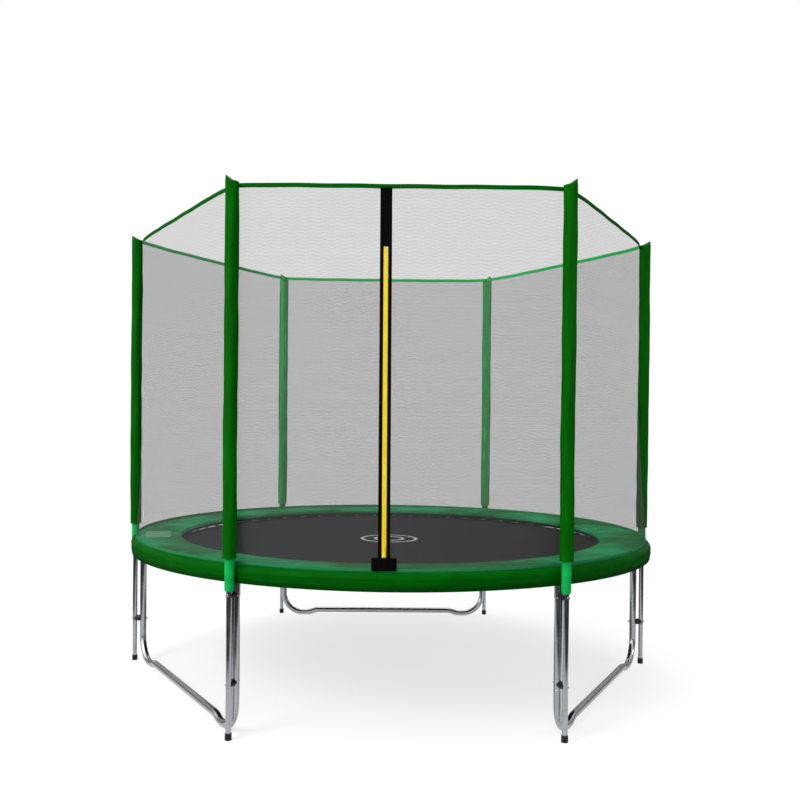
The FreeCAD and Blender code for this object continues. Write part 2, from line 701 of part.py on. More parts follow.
def pad():
    """The padded cover: thin over the springs, arched over the rail, with a skirt outside it."""
    skirt_inside = "pad_outer_radius - pad_skirt_wall"
    side, top, rounding = "pad_outer_radius", "pad_ring_top - 1", "pad_shoulder_radius"
    outline = [
        ("pad_inner_radius", "pad_inner_bottom"),
        ("spring_end - 9", "pad_inner_bottom"),
        ("spring_end - 3", "pad_ring_bottom"),
        (f"{skirt_inside} - 7", "pad_ring_bottom"),
        (skirt_inside, "pad_ring_bottom - 7"),
        (skirt_inside, "pad_skirt_bottom"),
        (side, "pad_skirt_bottom"),
    ]
    for step in range(5):
        turn = math.radians(90 / 4 * step)
        inwards, down = 1 - math.cos(turn), 1 - math.sin(turn)
        outline.append((f"{side} - {rounding} * {inwards:.4f}", f"{top} - {rounding} * {down:.4f}"))
    outline += [("ring_radius - 12", "pad_ring_top"), ("pad_inner_radius", "pad_inner_top")]
    nodes.append(turned_body("edge_pad", outline))


def pad_tie(azimuth):
    """An elastic band round the rail that holds the pad's underside down."""
    middle = size("tie_width") / 2
    centre = spot(azimuth, "ring_radius", "ring_height")
    across = Placement(Vector(0, -middle, 0), ALONG_Y)
    over = Placement(Vector(0, -middle - OVERRUN, 0), ALONG_Y)
    tail_low = size("frame_tube_radius + fit_gap + tie_wall") - 0.7
    tail = Placement(Vector(-4, -middle, tail_low), Rotation())
    band = cut(
        cylinder("frame_tube_radius + fit_gap + tie_wall", "tie_width", centre * across),
        cylinder("frame_tube_radius + fit_gap", "tie_width + 2", centre * over),
    )
    tail_length = size("pad_ring_bottom - ring_height") - tail_low - 0.2
    return fuse(band, box("8", "tie_width", f"{tail_length}", centre * tail))


# ---------------------------------------------------------------- build

azimuths = [60 * k for k in range(POLES)]
for number, azimuth in enumerate(azimuths, start=1):
    top_rail(number, azimuth)
    leg_upright(number, azimuth)
    pole(number, azimuth)
node("rail_joint_screws", *[rail_screw(a) for a in azimuths])
for label, middle in (("leg_base_back", 90), ("leg_base_left", 210), ("leg_base_right", 330)):
    leg_base(label, middle)
node("pole_foot_caps", *[foot_cap(a) for a in azimuths])
node("pole_top_caps", *[top_cap(a) for a in azimuths])
held = (("lower_bolt_height", "frame_tube_radius"), ("upper_bolt_height", "socket_radius"))
node("pole_spacers", *[saddle(a, h, r) for a in azimuths for h, r in held])
node("pole_bolts", *[bolt(a, h) for a in azimuths for h, _ in held])
node("pole_nuts", *[nut(a, h, r) for a in azimuths for h, r in held])
node("pole_foam_tubes", *[foam_tube(a) for a in azimuths])
node("net_pole_sleeves", *[net_sleeve(a) for a in azimuths])

top_edge = CHORD_HALF - size("net_edge_gap")
foot_edge = size("net_foot_radius") / 2 - size("net_edge_gap") * math.cos(math.radians(30))
whole = (-top_edge, top_edge), (-foot_edge, foot_edge)
for label, middle in (
    ("net_panel_right_back", 30),
    ("net_panel_back", 90),
    ("net_panel_left_back", 150),
    ("net_panel_left_front", 210),
    ("net_panel_right_front", 330),
):
    net_panel(label, middle, *whole)
door_edge = size("door_width") / 2 + 1
left_edge, right_edge = size("door_offset") - door_edge, size("door_offset") + door_edge
net_panel("net_panel_front_left", 270, (-top_edge, left_edge), (-foot_edge, left_edge))
net_panel("net_panel_front_right", 270, (right_edge, top_edge), (right_edge, foot_edge))
node("net_top_strap", *[top_strap(a + 30) for a in azimuths])
foot_half = size("hem_thickness") / 2
hem_low, hem_under = size("net_foot_height"), size("net_foot_height") - OVERRUN
hem_outside = cylinder(f"net_foot_radius + {foot_half}", "foot_hem_height", polar(0, 0, hem_low))
hem_inside = cylinder(f"net_foot_radius - {foot_half}", "foot_hem_height + 2", polar(0, 0, hem_under))
node("net_foot_hem", cut(hem_outside, hem_inside))
door_webbing("door_webbing_left", -1)
door_webbing("door_webbing_right", 1)
zip_tape("zip_tape_left", -1)
zip_tape("zip_tape_right", 1)
zip_slider()
zip_pull("zip_pull_outside", 1, 0)
zip_pull("zip_pull_inside", -1, LEAN)
flap_half, flap_inner = size("flap_width") / 2, size("webbing_thickness") / 2 + 2
flap_outer, flap_top = flap_inner + size("flap_thickness"), up_the_door("zip_bottom")
flap_low = flap_top - size("flap_height")
node("door_flap", door_box(-flap_half, flap_half, flap_outer, flap_inner, flap_low, flap_top))

nodes.append(
    turned_body(
        "jumping_mat",
        [
            ("0", "mat_bottom"),
            ("mat_radius", "mat_bottom"),
            ("mat_radius", "mat_bottom + mat_thickness"),
            ("0", "mat_bottom + mat_thickness"),
        ],
    )
)
band_low = "mat_bottom + mat_thickness"
band_high = "mat_bottom + mat_thickness + edge_band_thickness"
nodes.append(
    turned_body(
        "mat_edge_band",
        [
            ("mat_radius - edge_band_width", band_low),
            ("mat_radius", band_low),
            ("mat_radius", band_high),
            ("mat_radius - edge_band_width", band_high),
        ],
    )
)
spring_count = POLES * SPRINGS_PER_RAIL
first_spring = size("spring_pitch") / 2
shape_node("mat_rings", round_the_ring(mat_ring_shape(), spring_count, first_spring))
shape_node("springs", round_the_ring(spring_shape(), spring_count, first_spring))
pad()
tie_steps = (18, 42)  # degrees past a pole, midway between two springs
node("pad_ties", *[pad_tie(a + step) for a in azimuths for step in tie_steps])

# ---------------------------------------------------------------- check and write

doc.recompute()
broken = [item.Label for item in doc.Objects if {"Invalid", "Error"} & set(item.State)]
assert not broken, f"these objects failed: {broken}"
for item in nodes:
    assert not item.Shape.isNull(), f"{item.Label} has no shape"
    assert item.Shape.isValid(), f"{item.Label} isn't valid"
    assert item.Shape.Solids, f"{item.Label} has no solid"
os.makedirs("parts", exist_ok=True)
for item in nodes:
    item.Shape.exportStep(os.path.join("parts", item.Label + ".step"))
print(f"{len(nodes)} nodes, {sum(len(item.Shape.Solids) for item in nodes)} solids")
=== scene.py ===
import logging
import math
from dataclasses import dataclass, field
from enum import Enum
from typing import Iterable, Sequence, Union

import bmesh
import bpy
import numpy as np
from mathutils import Matrix, Vector


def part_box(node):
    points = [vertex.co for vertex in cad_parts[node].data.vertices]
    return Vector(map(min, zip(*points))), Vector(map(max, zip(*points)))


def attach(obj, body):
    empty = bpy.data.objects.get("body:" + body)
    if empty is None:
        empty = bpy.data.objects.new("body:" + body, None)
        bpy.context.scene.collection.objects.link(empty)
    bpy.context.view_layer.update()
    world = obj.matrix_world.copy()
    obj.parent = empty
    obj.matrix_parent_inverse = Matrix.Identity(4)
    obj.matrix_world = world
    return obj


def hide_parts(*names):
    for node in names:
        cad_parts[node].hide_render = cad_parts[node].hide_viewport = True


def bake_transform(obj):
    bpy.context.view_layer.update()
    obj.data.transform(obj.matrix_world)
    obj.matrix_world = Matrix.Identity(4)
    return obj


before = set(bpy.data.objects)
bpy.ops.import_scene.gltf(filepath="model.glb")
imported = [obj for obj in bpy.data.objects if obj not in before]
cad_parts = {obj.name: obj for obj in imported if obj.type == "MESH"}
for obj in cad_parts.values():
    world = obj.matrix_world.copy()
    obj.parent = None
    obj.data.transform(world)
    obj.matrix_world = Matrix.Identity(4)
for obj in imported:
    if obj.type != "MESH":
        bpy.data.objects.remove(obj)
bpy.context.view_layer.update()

LOG = logging.getLogger("trampoline")
Colour = tuple[float, float, float]
Link = bpy.types.NodeSocket
Numbers = Union[float, np.ndarray]
Pair = tuple[float, float]
Socket = Union[float, int, tuple, Link]
TURN = 2.0 * math.pi


# ----------------------------------------------------------------------------- surfaces


@dataclass
class Grid:
    """A surface of rows and columns of points, or several such surfaces of one size.

    Points have the shape (rows, columns, 3) or (copies, rows, columns, 3). Cloth coordinates run in
    metres along the surface, and have one more row or column where the surface closes on itself.
    """

    points: np.ndarray
    cloth: np.ndarray
    close_rows: bool = False
    close_columns: bool = True
    finish: int = 0

    def faces(self) -> tuple[np.ndarray, np.ndarray]:
        """Lists the four corners of each face and their cloth coordinates.

        Returns:
            Corner numbers, counted from this surface's first point, and cloth coordinates.
        """
        copies, rows, columns = self.stack().shape[:3]
        i = np.arange(rows if self.close_rows else rows - 1)
        j = np.arange(columns if self.close_columns else columns - 1)
        i, j = (a.ravel() for a in np.meshgrid(i, j, indexing="ij"))
        down, right = (i + 1) % rows, (j + 1) % columns
        here, below = i * columns, down * columns
        quads = np.stack([here + j, here + right, below + right, below + j], 1)
        quads = (np.arange(copies)[:, None, None] * rows * columns + quads).reshape(-1, 4)
        c = self.cloth
        cloth = np.stack([c[i, j], c[i, j + 1], c[i + 1, j + 1], c[i + 1, j]], 1)
        return quads, np.broadcast_to(cloth, (copies, *cloth.shape)).reshape(-1, 2)

    def stack(self) -> np.ndarray:
        """The points with the copies as their first dimension."""
        return self.points if self.points.ndim == 4 else self.points[None]


def unit(vectors: np.ndarray) -> np.ndarray:
    """Each vector divided by its own length."""
    return vectors / np.maximum(np.linalg.norm(vectors, axis=-1, keepdims=True), 1e-12)


def smoothstep(x: np.ndarray, low: float, high: float) -> np.ndarray:
    """Zero below low, one above high, and 3t^2 - 2t^3 between them."""
    t = np.clip((x - low) / (high - low), 0.0, 1.0)
    return t * t * (3.0 - 2.0 * t)


def running_length(points: np.ndarray) -> np.ndarray:
    """Length along a line of points, from its first one."""
    steps = np.linalg.norm(np.diff(points, axis=0), axis=1)
    return np.concatenate([[0.0], np.cumsum(steps)])


def smooth_line(points: Sequence[Sequence[float]], steps: int = 6) -> np.ndarray:
    """A line through all the points, each span a cubic on its two neighbours (Catmull-Rom).

    Args:
        points: The points to pass through.
        steps: How many pieces each span is cut into.

    Returns:
        The points of the line, (spans * steps + 1, 3).
    """
    p = np.asarray(points, float)
    p = np.concatenate([[2 * p[0] - p[1]], p, [2 * p[-1] - p[-2]]])
    a, b, c, d = p[:-3, None], p[1:-2, None], p[2:-1, None], p[3:, None]
    t = (np.arange(steps) / steps)[None, :, None]
    line = 0.5 * (2 * b + (c - a) * t + (2 * a - 5 * b + 4 * c - d) * t**2 + (3 * b - a - 3 * c + d) * t**3)
    return np.concatenate([line.reshape(-1, 3), p[-2][None]])


def circle(radius: float, sides: int) -> np.ndarray:
    """Points of a circle, (sides, 2)."""
    t = TURN * np.arange(sides) / sides
    return radius * np.stack([np.cos(t), np.sin(t)], 1)


def rounded_bar(width: float, height: float, corner: float, steps: int = 3) -> np.ndarray:
    """A rectangle with quarter-circle corners.

    Args:
        width: Size along x.
        height: Size along y.
        corner: Radius of the corners.
        steps: How many pieces each quarter circle is cut into.

    Returns:
        Its points, anticlockwise, (4 * (steps + 1), 2).
    """
    t = np.arange(steps + 1) / steps * (TURN / 4)
    quarter = corner * np.stack([np.cos(t), np.sin(t)], 1)
    centres = np.array([[1, 1], [-1, 1], [-1, -1], [1, -1]]) * [width / 2 - corner, height / 2 - corner]
    left = np.array([[0, -1], [1, 0]])
    turns = [np.eye(2), left, -np.eye(2), -left]
    return np.concatenate([centre + quarter @ turn.T for centre, turn in zip(centres, turns)])


def carried(
    path: np.ndarray,
    hint: Sequence[float] | np.ndarray,
    section: np.ndarray,
    scale: np.ndarray | float = 1.0,
    closed: bool = False,
    finish: int = 0,
) -> Grid:
    """Carries a closed section along a path: point = path + across * x + up * y.

    Args:
        path: The points of the path, (n, 3).
        hint: A direction, or one per point, that the section's x axis keeps square to.
        section: The section, (m, 2).
        scale: One number, or one per point, that the section is multiplied by.
        closed: Whether the path joins its own start. An open path is capped at both ends.
        finish: Which of the piece's finishes it takes.

    Returns:
        The surface.
    """
    along = (np.roll(path, -1, 0) - np.roll(path, 1, 0)) if closed else np.gradient(path, axis=0)
    along = unit(along)
    across = unit(np.cross(along, np.broadcast_to(np.asarray(hint, float), path.shape)))
    up = np.cross(across, along)
    size = np.broadcast_to(np.asarray(scale, float), (len(path),))
    length = running_length(path)
    if not closed:
        ends = np.array([0, *range(len(path)), len(path) - 1])
        path, across, up, length, size = path[ends], across[ends], up[ends], length[ends], size[ends].copy()
        size[[0, -1]] = 0.0
    offsets = section[None] * size[:, None, None]
    points = path[:, None] + across[:, None] * offsets[..., :1] + up[:, None] * offsets[..., 1:]
    girth = running_length(np.concatenate([section, section[:1]]))
    if closed:
        length = np.append(length, length[-1] + np.linalg.norm(path[0] - path[-1]))
    cloth = np.stack(np.meshgrid(length, girth, indexing="ij"), -1)
    return Grid(points, cloth, close_rows=closed, finish=finish)


def turned(profile: np.ndarray, angles: np.ndarray, finish: int = 0) -> Grid:
    """Turns a closed profile of (radius, height) about Z: x = r cos a, y = r sin a.

    Args:
        profile: (m, 2), or (n, m, 2) with one profile for each angle.
        angles: The angles, in radians, once round.
        finish: Which of the piece's finishes it takes.

    Returns:
        The surface, closed both ways.
    """
    profile = np.broadcast_to(profile, (len(angles), *profile.shape[-2:]))
    r, z = profile[..., 0], profile[..., 1]
    a = angles[:, None]
    points = np.stack([r * np.cos(a), r * np.sin(a), z + 0 * a], -1)
    girth = running_length(np.concatenate([profile[0], profile[0][:1]]))
    round_it = np.append(angles, angles[0] + TURN) * float(profile[0, :, 0].mean())
    cloth = np.stack(np.meshgrid(round_it, girth, indexing="ij"), -1)
    return Grid(points, cloth, close_rows=True, finish=finish)


def spun(points: np.ndarray, degrees: np.ndarray | Sequence[float]) -> np.ndarray:
    """Copies of points turned about Z by each angle.

    Args:
        points: The points, with x, y and z as the last dimension.
        degrees: The angles.

    Returns:
        The points of each copy, with the copies as a new first dimension.
    """
    a = np.radians(np.asarray(degrees, float)).reshape(-1, *([1] * (points.ndim - 1)))
    x, y, z = points[..., 0][None], points[..., 1][None], points[..., 2][None]
    return np.stack([x * np.cos(a) - y * np.sin(a), x * np.sin(a) + y * np.cos(a), z + 0 * a], -1)


def spun_grid(grid: Grid, degrees: np.ndarray | Sequence[float]) -> Grid:
    """The same surface at each of several angles about Z."""
    return Grid(spun(grid.points, degrees), grid.cloth, grid.close_rows, grid.close_columns, grid.finish)


# ----------------------------------------------------------------------------- finishes


class Recipe:
    """Builds the nodes of one material, ending in one shader."""

    def __init__(self, name: str) -> None:
        """Starts a material.

        Args:
            name: The material's name.
        """
        self.material = bpy.data.materials.new(name)
        self.material.use_nodes = True
        self.tree = self.material.node_tree
        self.shader = self.tree.nodes["Principled BSDF"]

    def add(self, kind: str, settings: dict | None = None, **inputs: Socket) -> bpy.types.Node:
        """Adds a node.

        Args:
            kind: The node's type name.
            settings: Properties of the node.
            inputs: Values or sockets for its inputs, by name, with _ for a space, or by number as i0, i1.

        Returns:
            The node.
        """
        made = self.tree.nodes.new(kind)
        for key, value in (settings or {}).items():
            setattr(made, key, value)
        for key, value in inputs.items():
            spot = int(key[1:]) if key[0] == "i" and key[1:].isdigit() else key.replace("_", " ")
            self.feed(made.inputs[spot], value)
        return made

    def feed(self, socket: bpy.types.NodeSocket, value: Socket) -> None:
        """Links a socket to another, or gives it a value."""
        if isinstance(value, bpy.types.NodeSocket):
            self.tree.links.new(value, socket)
        elif isinstance(value, tuple) and len(value) == 3 and socket.type == "RGBA":
            socket.default_value = (*value, 1.0)
        else:
            socket.default_value = value

    def place(self) -> Link:
        """Where a point lies in the object's own frame, in metres."""
        return self.add("ShaderNodeTexCoord").outputs["Object"]

    def cloth(self) -> Link:
        """Where a point lies along the surface, in metres."""
        return self.add("ShaderNodeUVMap", {"uv_map": "cloth"}).outputs["UV"]

    def stretch(self, vector: Socket, scale: tuple[float, float, float]) -> Link:
        """The vector times a scale along each axis."""
        return self.add("ShaderNodeMapping", Vector=vector, Scale=scale).outputs["Vector"]

    def part(self, vector: Socket, axis: int) -> Link:
        """One component of a vector."""
        return self.add("ShaderNodeSeparateXYZ", Vector=vector).outputs[axis]

    def noise(self, vector: Socket, scale: float, detail: float = 3.0, rough: float = 0.5) -> Link:
        """Cloudy noise from 0 to 1."""
        made = self.add("ShaderNodeTexNoise", Vector=vector, Scale=scale, Detail=detail, Roughness=rough)
        return made.outputs[0]

    def off_axis(self, place: Socket) -> Link:
        """Distance from the Z axis.

        Args:
            place: The point whose distance it is.

        Returns:
            The distance.
        """
        multiply, length = {"operation": "MULTIPLY"}, {"operation": "LENGTH"}
        flat = self.add("ShaderNodeVectorMath", multiply, i0=place, i1=(1.0, 1.0, 0.0)).outputs[0]
        return self.add("ShaderNodeVectorMath", length, i0=flat).outputs["Value"]

    def cells(self, vector: Socket, scale: float) -> Link:
        """A different colour for each crystal-like cell."""
        return self.add("ShaderNodeTexVoronoi", Vector=vector, Scale=scale).outputs["Color"]

    def maths(self, operation: str, a: Socket, b: Socket = 0.0, c: Socket = 0.0) -> Link:
        """One step of arithmetic."""
        return self.add("ShaderNodeMath", {"operation": operation}, i0=a, i1=b, i2=c).outputs[0]

    def between(self, value: Socket, low: float, high: float, out: Pair = (0.0, 1.0)) -> Link:
        """Carries one range onto another, smoothly and held at both ends.

        Args:
            value: The number to carry.
            low: Where the first range begins. It may be more than high.
            high: Where the first range ends.
            out: The other range.

        Returns:
            The number carried.
        """
        made = self.add("ShaderNodeMapRange", {"interpolation_type": "SMOOTHSTEP"}, Value=value)
        for name, number in (("From Min", low), ("From Max", high), ("To Min", out[0]), ("To Max", out[1])):
            made.inputs[name].default_value = number
        return made.outputs["Result"]

    def blend(self, share: Socket, a: Socket, b: Socket) -> Link:
        """Colour a turning to colour b as the share grows.

        Args:
            share: From 0 for a to 1 for b.
            a: The first colour.
            b: The second colour.

        Returns:
            The colour between them.
        """
        made = self.add("ShaderNodeMix", {"data_type": "RGBA"})
        for spot, value in ((0, share), (6, a), (7, b)):
            self.feed(made.inputs[spot], value)
        return made.outputs[2]

    def relief(self, height: Socket, metres: float, under: Socket | None = None) -> Link:
        """Bumps in the surface.

        Args:
            height: Where the surface rises, from 0 to 1.
            metres: How high it rises there.
            under: The normal of the bumps that these are laid over.

        Returns:
            The normal.
        """
        made = self.add("ShaderNodeBump", Height=height, Distance=metres, Strength=1.0)
        if under is not None:
            self.feed(made.inputs["Normal"], under)
        return made.outputs["Normal"]

    def done(self, **sockets: Socket) -> bpy.types.Material:
        """Sets the shader's sockets, by name with _ for a space, and gives the material."""
        for key, value in sockets.items():
            self.feed(self.shader.inputs[key.replace("_", " ")], value)
        return self.material


def shade(colour: Colour, factor: float) -> Colour:
    """A colour made lighter or darker."""
    return tuple(min(1.0, c * factor) for c in colour)


@dataclass(frozen=True)
class Finish:
    """A surface finish, made into a material once."""

    name: str
    colour: Colour
    roughness: float

    def material(self) -> bpy.types.Material:
        """The finish's material, which every piece with this finish shares."""
        found = bpy.data.materials.get(self.name)
        return found if found else self.dress(Recipe(self.name))

    def dress(self, r: Recipe) -> bpy.types.Material:
        """Fills in the nodes."""
        raise NotImplementedError


@dataclass(frozen=True)
class GalvanizedSteel(Finish):
    """Zinc-coated tube: faint crystals, long drawing marks, cloudy dull patches."""

    spangle: float = 90.0

    def dress(self, r: Recipe) -> bpy.types.Material:
        """Crystals change the colour a little, and clouds and streaks the roughness.

        Args:
            r: The recipe that its nodes are added to.

        Returns:
            The finished material.
        """
        here = r.place()
        crystals = r.part(r.cells(here, self.spangle), 0)
        clouds = r.noise(here, 9.0, 4.0)
        streaks = r.noise(r.stretch(here, (160.0, 160.0, 6.0)), 1.0, 2.0)
        tone = r.maths("ADD", r.maths("MULTIPLY", crystals, 0.2), r.maths("MULTIPLY", clouds, 0.8))
        colour = r.blend(r.between(tone, 0.25, 0.8), shade(self.colour, 0.88), shade(self.colour, 1.08))
        low, high = self.roughness - 0.04, self.roughness + 0.10
        rough = r.between(r.maths("ADD", clouds, r.maths("MULTIPLY", streaks, 0.2)), 0.4, 1.0, (low, high))
        normal = r.relief(streaks, 0.000005)
        return r.done(Base_Color=colour, Metallic=1.0, Roughness=rough, Normal=normal)


@dataclass(frozen=True)
class MouldedPlastic(Finish):
    """Satin moulded plastic with a fine grain and slight rubbing."""

    grain: float = 900.0
    gloss: float = 0.3

    def dress(self, r: Recipe) -> bpy.types.Material:
        """A fine grain in relief, and a cloudy roughness.

        Args:
            r: The recipe that its nodes are added to.

        Returns:
            The finished material.
        """
        here = r.place()
        grain, clouds = r.noise(here, self.grain, 2.0), r.noise(here, 22.0, 4.0)
        colour = r.blend(r.between(clouds, 0.35, 0.75), self.colour, shade(self.colour, 1.9))
        rough = r.between(clouds, 0.3, 0.8, (self.roughness - 0.08, self.roughness + 0.12))
        bumps = r.relief(grain, 0.00012)
        return r.done(Base_Color=colour, Roughness=rough, Normal=bumps, Specular_IOR_Level=self.gloss)


@dataclass(frozen=True)
class ZincWire(Finish):
    """Bright wire and fasteners with faint drawing marks."""

    def dress(self, r: Recipe) -> bpy.types.Material:
        """Clouds in the plating change its colour and gloss.

        Args:
            r: The recipe that its nodes are added to.

        Returns:
            The finished material.
        """
        here = r.place()
        clouds, fine = r.noise(here, 60.0, 3.0), r.noise(here, 700.0, 2.0)
        colour = r.blend(r.between(clouds, 0.3, 0.7), shade(self.colour, 0.82), self.colour)
        rough = r.between(clouds, 0.3, 0.75, (self.roughness, self.roughness + 0.12))
        return r.done(Base_Color=colour, Metallic=0.95, Roughness=rough, Normal=r.relief(fine, 0.00004))


@dataclass(frozen=True)
class FoamSkin(Finish):
    """Closed-cell foam tube: fine cells and soft dents."""

    def dress(self, r: Recipe) -> bpy.types.Material:
        """Cells and dents in relief, with the colour darker in the dents as painted shade.

        Args:
            r: The recipe that its nodes are added to.

        Returns:
            The finished material.
        """
        here = r.place()
        cells, dents = r.noise(here, 420.0, 3.0), r.noise(here, 26.0, 3.0)
        # Painted shade in the dents: the colour darkens where the dent relief sinks.
        colour = r.blend(r.between(dents, 0.3, 0.75), shade(self.colour, 0.82), shade(self.colour, 1.1))
        normal = r.relief(cells, 0.0003, r.relief(dents, 0.0015))
        return r.done(Base_Color=colour, Roughness=self.roughness, Normal=normal, Specular_IOR_Level=0.12)


@dataclass(frozen=True)
class CoatedCloth(Finish):
    """Coated woven cloth: a weave that shows through, soft creases and a patchy gloss."""

    weave: float = 700.0
    weave_depth: float = 0.00012
    crease: float = 0.0012
    crease_scale: tuple[float, float, float] = (5.0, 5.0, 5.0)
    coat: float = 0.0
    gloss: float = 0.1
    # Light end of the tone blend: on the padded cover a painted sheen, elsewhere None for a plain lighter tone.
    patch: Colour | None = None
    painted_inner_light: Colour | None = None
    # Skirt colour and its bounds: the skirt is painted darker than the top as shade, and darker still towards its
    # bottom.
    skirt: Colour | None = None
    skirt_from: float = 1.492
    skirt_shade_heights: Pair = (0.722, 0.772)
    crease_share: float = 0.6
    # Near-black painted shade on the cover's underside, and the height below which it is painted.
    painted_underside_shade: Colour | None = None
    painted_shade_below: float = 0.787

    def dress(self, r: Recipe) -> bpy.types.Material:
        """The weave is a product of two sine waves along the cloth; creases are stretched noise.

        Args:
            r: The recipe that its nodes are added to.

        Returns:
            The finished material.
        """
        here, cloth = r.place(), r.cloth()
        warp = r.maths("SINE", r.maths("MULTIPLY", r.part(cloth, 0), self.weave * TURN))
        weft = r.maths("SINE", r.maths("MULTIPLY", r.part(cloth, 1), self.weave * TURN))
        weave = r.maths("MULTIPLY", warp, weft)
        creases = r.noise(r.stretch(here, self.crease_scale), 1.0, 4.0, 0.55)
        clouds = r.noise(here, 3.2, 3.0)
        # Painted shade in the creases: the colour darkens where the crease relief sinks; the clouds add random
        # tone.
        crease_shade = r.maths("MULTIPLY", creases, self.crease_share)
        tone = r.maths("ADD", crease_shade, r.maths("MULTIPLY", clouds, 1.0 - self.crease_share))
        # With a patch colour given, the light end of the blend is a painted sheen: lighter clouds as if the coat
        # caught the light.
        lighter = self.patch or shade(self.colour, 1.25)
        colour = r.blend(r.between(tone, 0.36, 0.68), shade(self.colour, 0.88), lighter)
        # Painted light: where the cloth faces the middle of the trampoline it turns lighter, as if lit from above
        # the middle.
        if self.painted_inner_light is not None:
            inwards = r.add("ShaderNodeAttribute", {"attribute_name": "inwards"}).outputs["Fac"]
            colour = r.blend(r.between(inwards, 0.80, 0.85), colour, self.painted_inner_light)
        # Painted light and shade on the cover: the skirt is painted darker than the top as if in shade, lighter
        # along the raised creases as painted fold shading, and darker towards its bottom as painted shade.
        if self.skirt is not None:
            far = r.off_axis(here)
            fold = r.blend(r.between(creases, 0.4, 0.7), self.skirt, shade(self.skirt, 1.3))
            fold = r.blend(r.between(r.part(here, 2), *self.skirt_shade_heights), shade(self.skirt, 0.5), fold)
            colour = r.blend(r.between(far, self.skirt_from, self.skirt_from + 0.022), colour, fold)
            # Painted shade: the underside and the lower half of the inner roll, inside about 1.46 m, are painted
            # near-black where shade falls under the cover.
            low = r.between(r.part(here, 2), self.painted_shade_below, self.painted_shade_below - 0.0006)
            low = r.maths("MULTIPLY", low, r.between(far, 1.47, 1.46))
            colour = r.blend(low, colour, self.painted_underside_shade or self.skirt)
        colour = r.blend(r.between(weave, -1.0, 1.0, (0.0, 0.12)), colour, shade(self.colour, 0.4))
        rough = r.between(clouds, 0.3, 0.75, (self.roughness, self.roughness + 0.16))
        normal = r.relief(weave, self.weave_depth, r.relief(creases, self.crease))
        return r.done(
            Base_Color=colour,
            Roughness=rough,
            Normal=normal,
            Coat_Weight=self.coat,
            Coat_Roughness=0.3,
            Specular_IOR_Level=self.gloss,
        )


@dataclass(frozen=True)
class WovenTape(Finish):
    """Woven tape: ribs across it, a stitched row near each edge, and a slight fuzz."""

    ribs: float = 420.0
    width: float = 0.055
    thread: Colour = (0.02, 0.02, 0.02)
    stitch_inset: float = 0.004
    painted_inner_light: Colour | None = None

    def dress(self, r: Recipe) -> bpy.types.Material:
        """Ribs are a sine along the tape. Stitches are dashes where the two edge rows run.

        Args:
            r: The recipe that its nodes are added to.

        Returns:
            The finished material.
        """
        here, cloth = r.place(), r.cloth()
        along, girth = r.part(cloth, 0), r.part(cloth, 1)
        rib = r.maths("SINE", r.maths("MULTIPLY", along, self.ribs * TURN))
        yarn = r.maths("SINE", r.maths("MULTIPLY", girth, self.ribs * TURN))
        weave = r.maths("ADD", rib, r.maths("MULTIPLY", yarn, 0.5))
        clouds = r.noise(here, 14.0, 3.0)
        colour = r.blend(r.between(weave, -1.4, 1.4), shade(self.colour, 0.7), shade(self.colour, 1.25))
        colour = r.blend(r.between(clouds, 0.3, 0.8, (0.0, 0.3)), colour, shade(self.colour, 1.4))
        # Painted light: where the tape faces the middle of the trampoline it turns lighter, as if lit from above
        # the middle.
        if self.painted_inner_light is not None:
            inwards = r.add("ShaderNodeAttribute", {"attribute_name": "inwards"}).outputs["Fac"]
            colour = r.blend(r.between(inwards, 0.80, 0.85), colour, self.painted_inner_light)
        dash = r.between(r.maths("SINE", r.maths("MULTIPLY", along, TURN / 0.007)), -0.3, 0.1)
        across = r.maths("PINGPONG", girth, self.width / 2)
        row = r.between(r.maths("ABSOLUTE", r.maths("SUBTRACT", across, self.stitch_inset)), 0.0012, 0.0004)
        stitch = r.maths("MULTIPLY", dash, row)
        colour = r.blend(stitch, colour, self.thread)
        normal = r.relief(stitch, 0.0005, r.relief(weave, 0.00018))
        return r.done(Base_Color=colour, Roughness=self.roughness, Normal=normal, Specular_IOR_Level=0.03)


@dataclass(frozen=True)
class Netting(Finish):
    """Fine knitted netting: more hole than yarn, with rows of longer stitches across it."""

    cell: float = 0.0060
    cover: float = 0.190
    row: float = 0.0170
    row_share: float = 0.075
    stitch: float = 0.060

    def dress(self, r: Recipe) -> bpy.types.Material:
        """Yarn lies where the product of two crossed sines is small.

        Across it the rows of the knit make lens-shaped waves, a product of a sine up the net and
        one along it, which change how much yarn there is by a few hundredths.

        Args:
            r: The recipe that its nodes are added to.

        Returns:
            The finished material.
        """
        here, cloth = r.place(), r.cloth()
        drift = r.noise(r.stretch(here, (3.0, 3.0, 26.0)), 1.0, 2.0)
        along, up = r.part(cloth, 0), r.part(cloth, 1)
        step = TURN / 2 / self.cell
        a = r.maths("SINE", r.maths("MULTIPLY", r.maths("ADD", along, up), step))
        b = r.maths("SINE", r.maths("MULTIPLY", r.maths("SUBTRACT", along, up), step))
        hole = r.maths("ABSOLUTE", r.maths("MULTIPLY", a, b))
        alpha = r.between(hole, 0.0, 0.7, (self.cover * 1.65, self.cover * 0.55))
        bend = r.maths("MULTIPLY", r.maths("SINE", r.maths("MULTIPLY", along, TURN / self.stitch)), 1.4)
        rows = r.maths("SINE", r.maths("ADD", r.maths("MULTIPLY", up, TURN / self.row), bend))
        rows = r.maths("MULTIPLY", rows, self.row_share)
        wander = r.maths("ADD", rows, r.between(drift, 0.25, 0.75, (0.975, 1.025)))
        alpha = r.maths("MULTIPLY", alpha, wander)
        colour = r.blend(drift, shade(self.colour, 0.92), shade(self.colour, 1.08))
        return r.done(Base_Color=colour, Roughness=self.roughness, Alpha=alpha, Specular_IOR_Level=0.05)


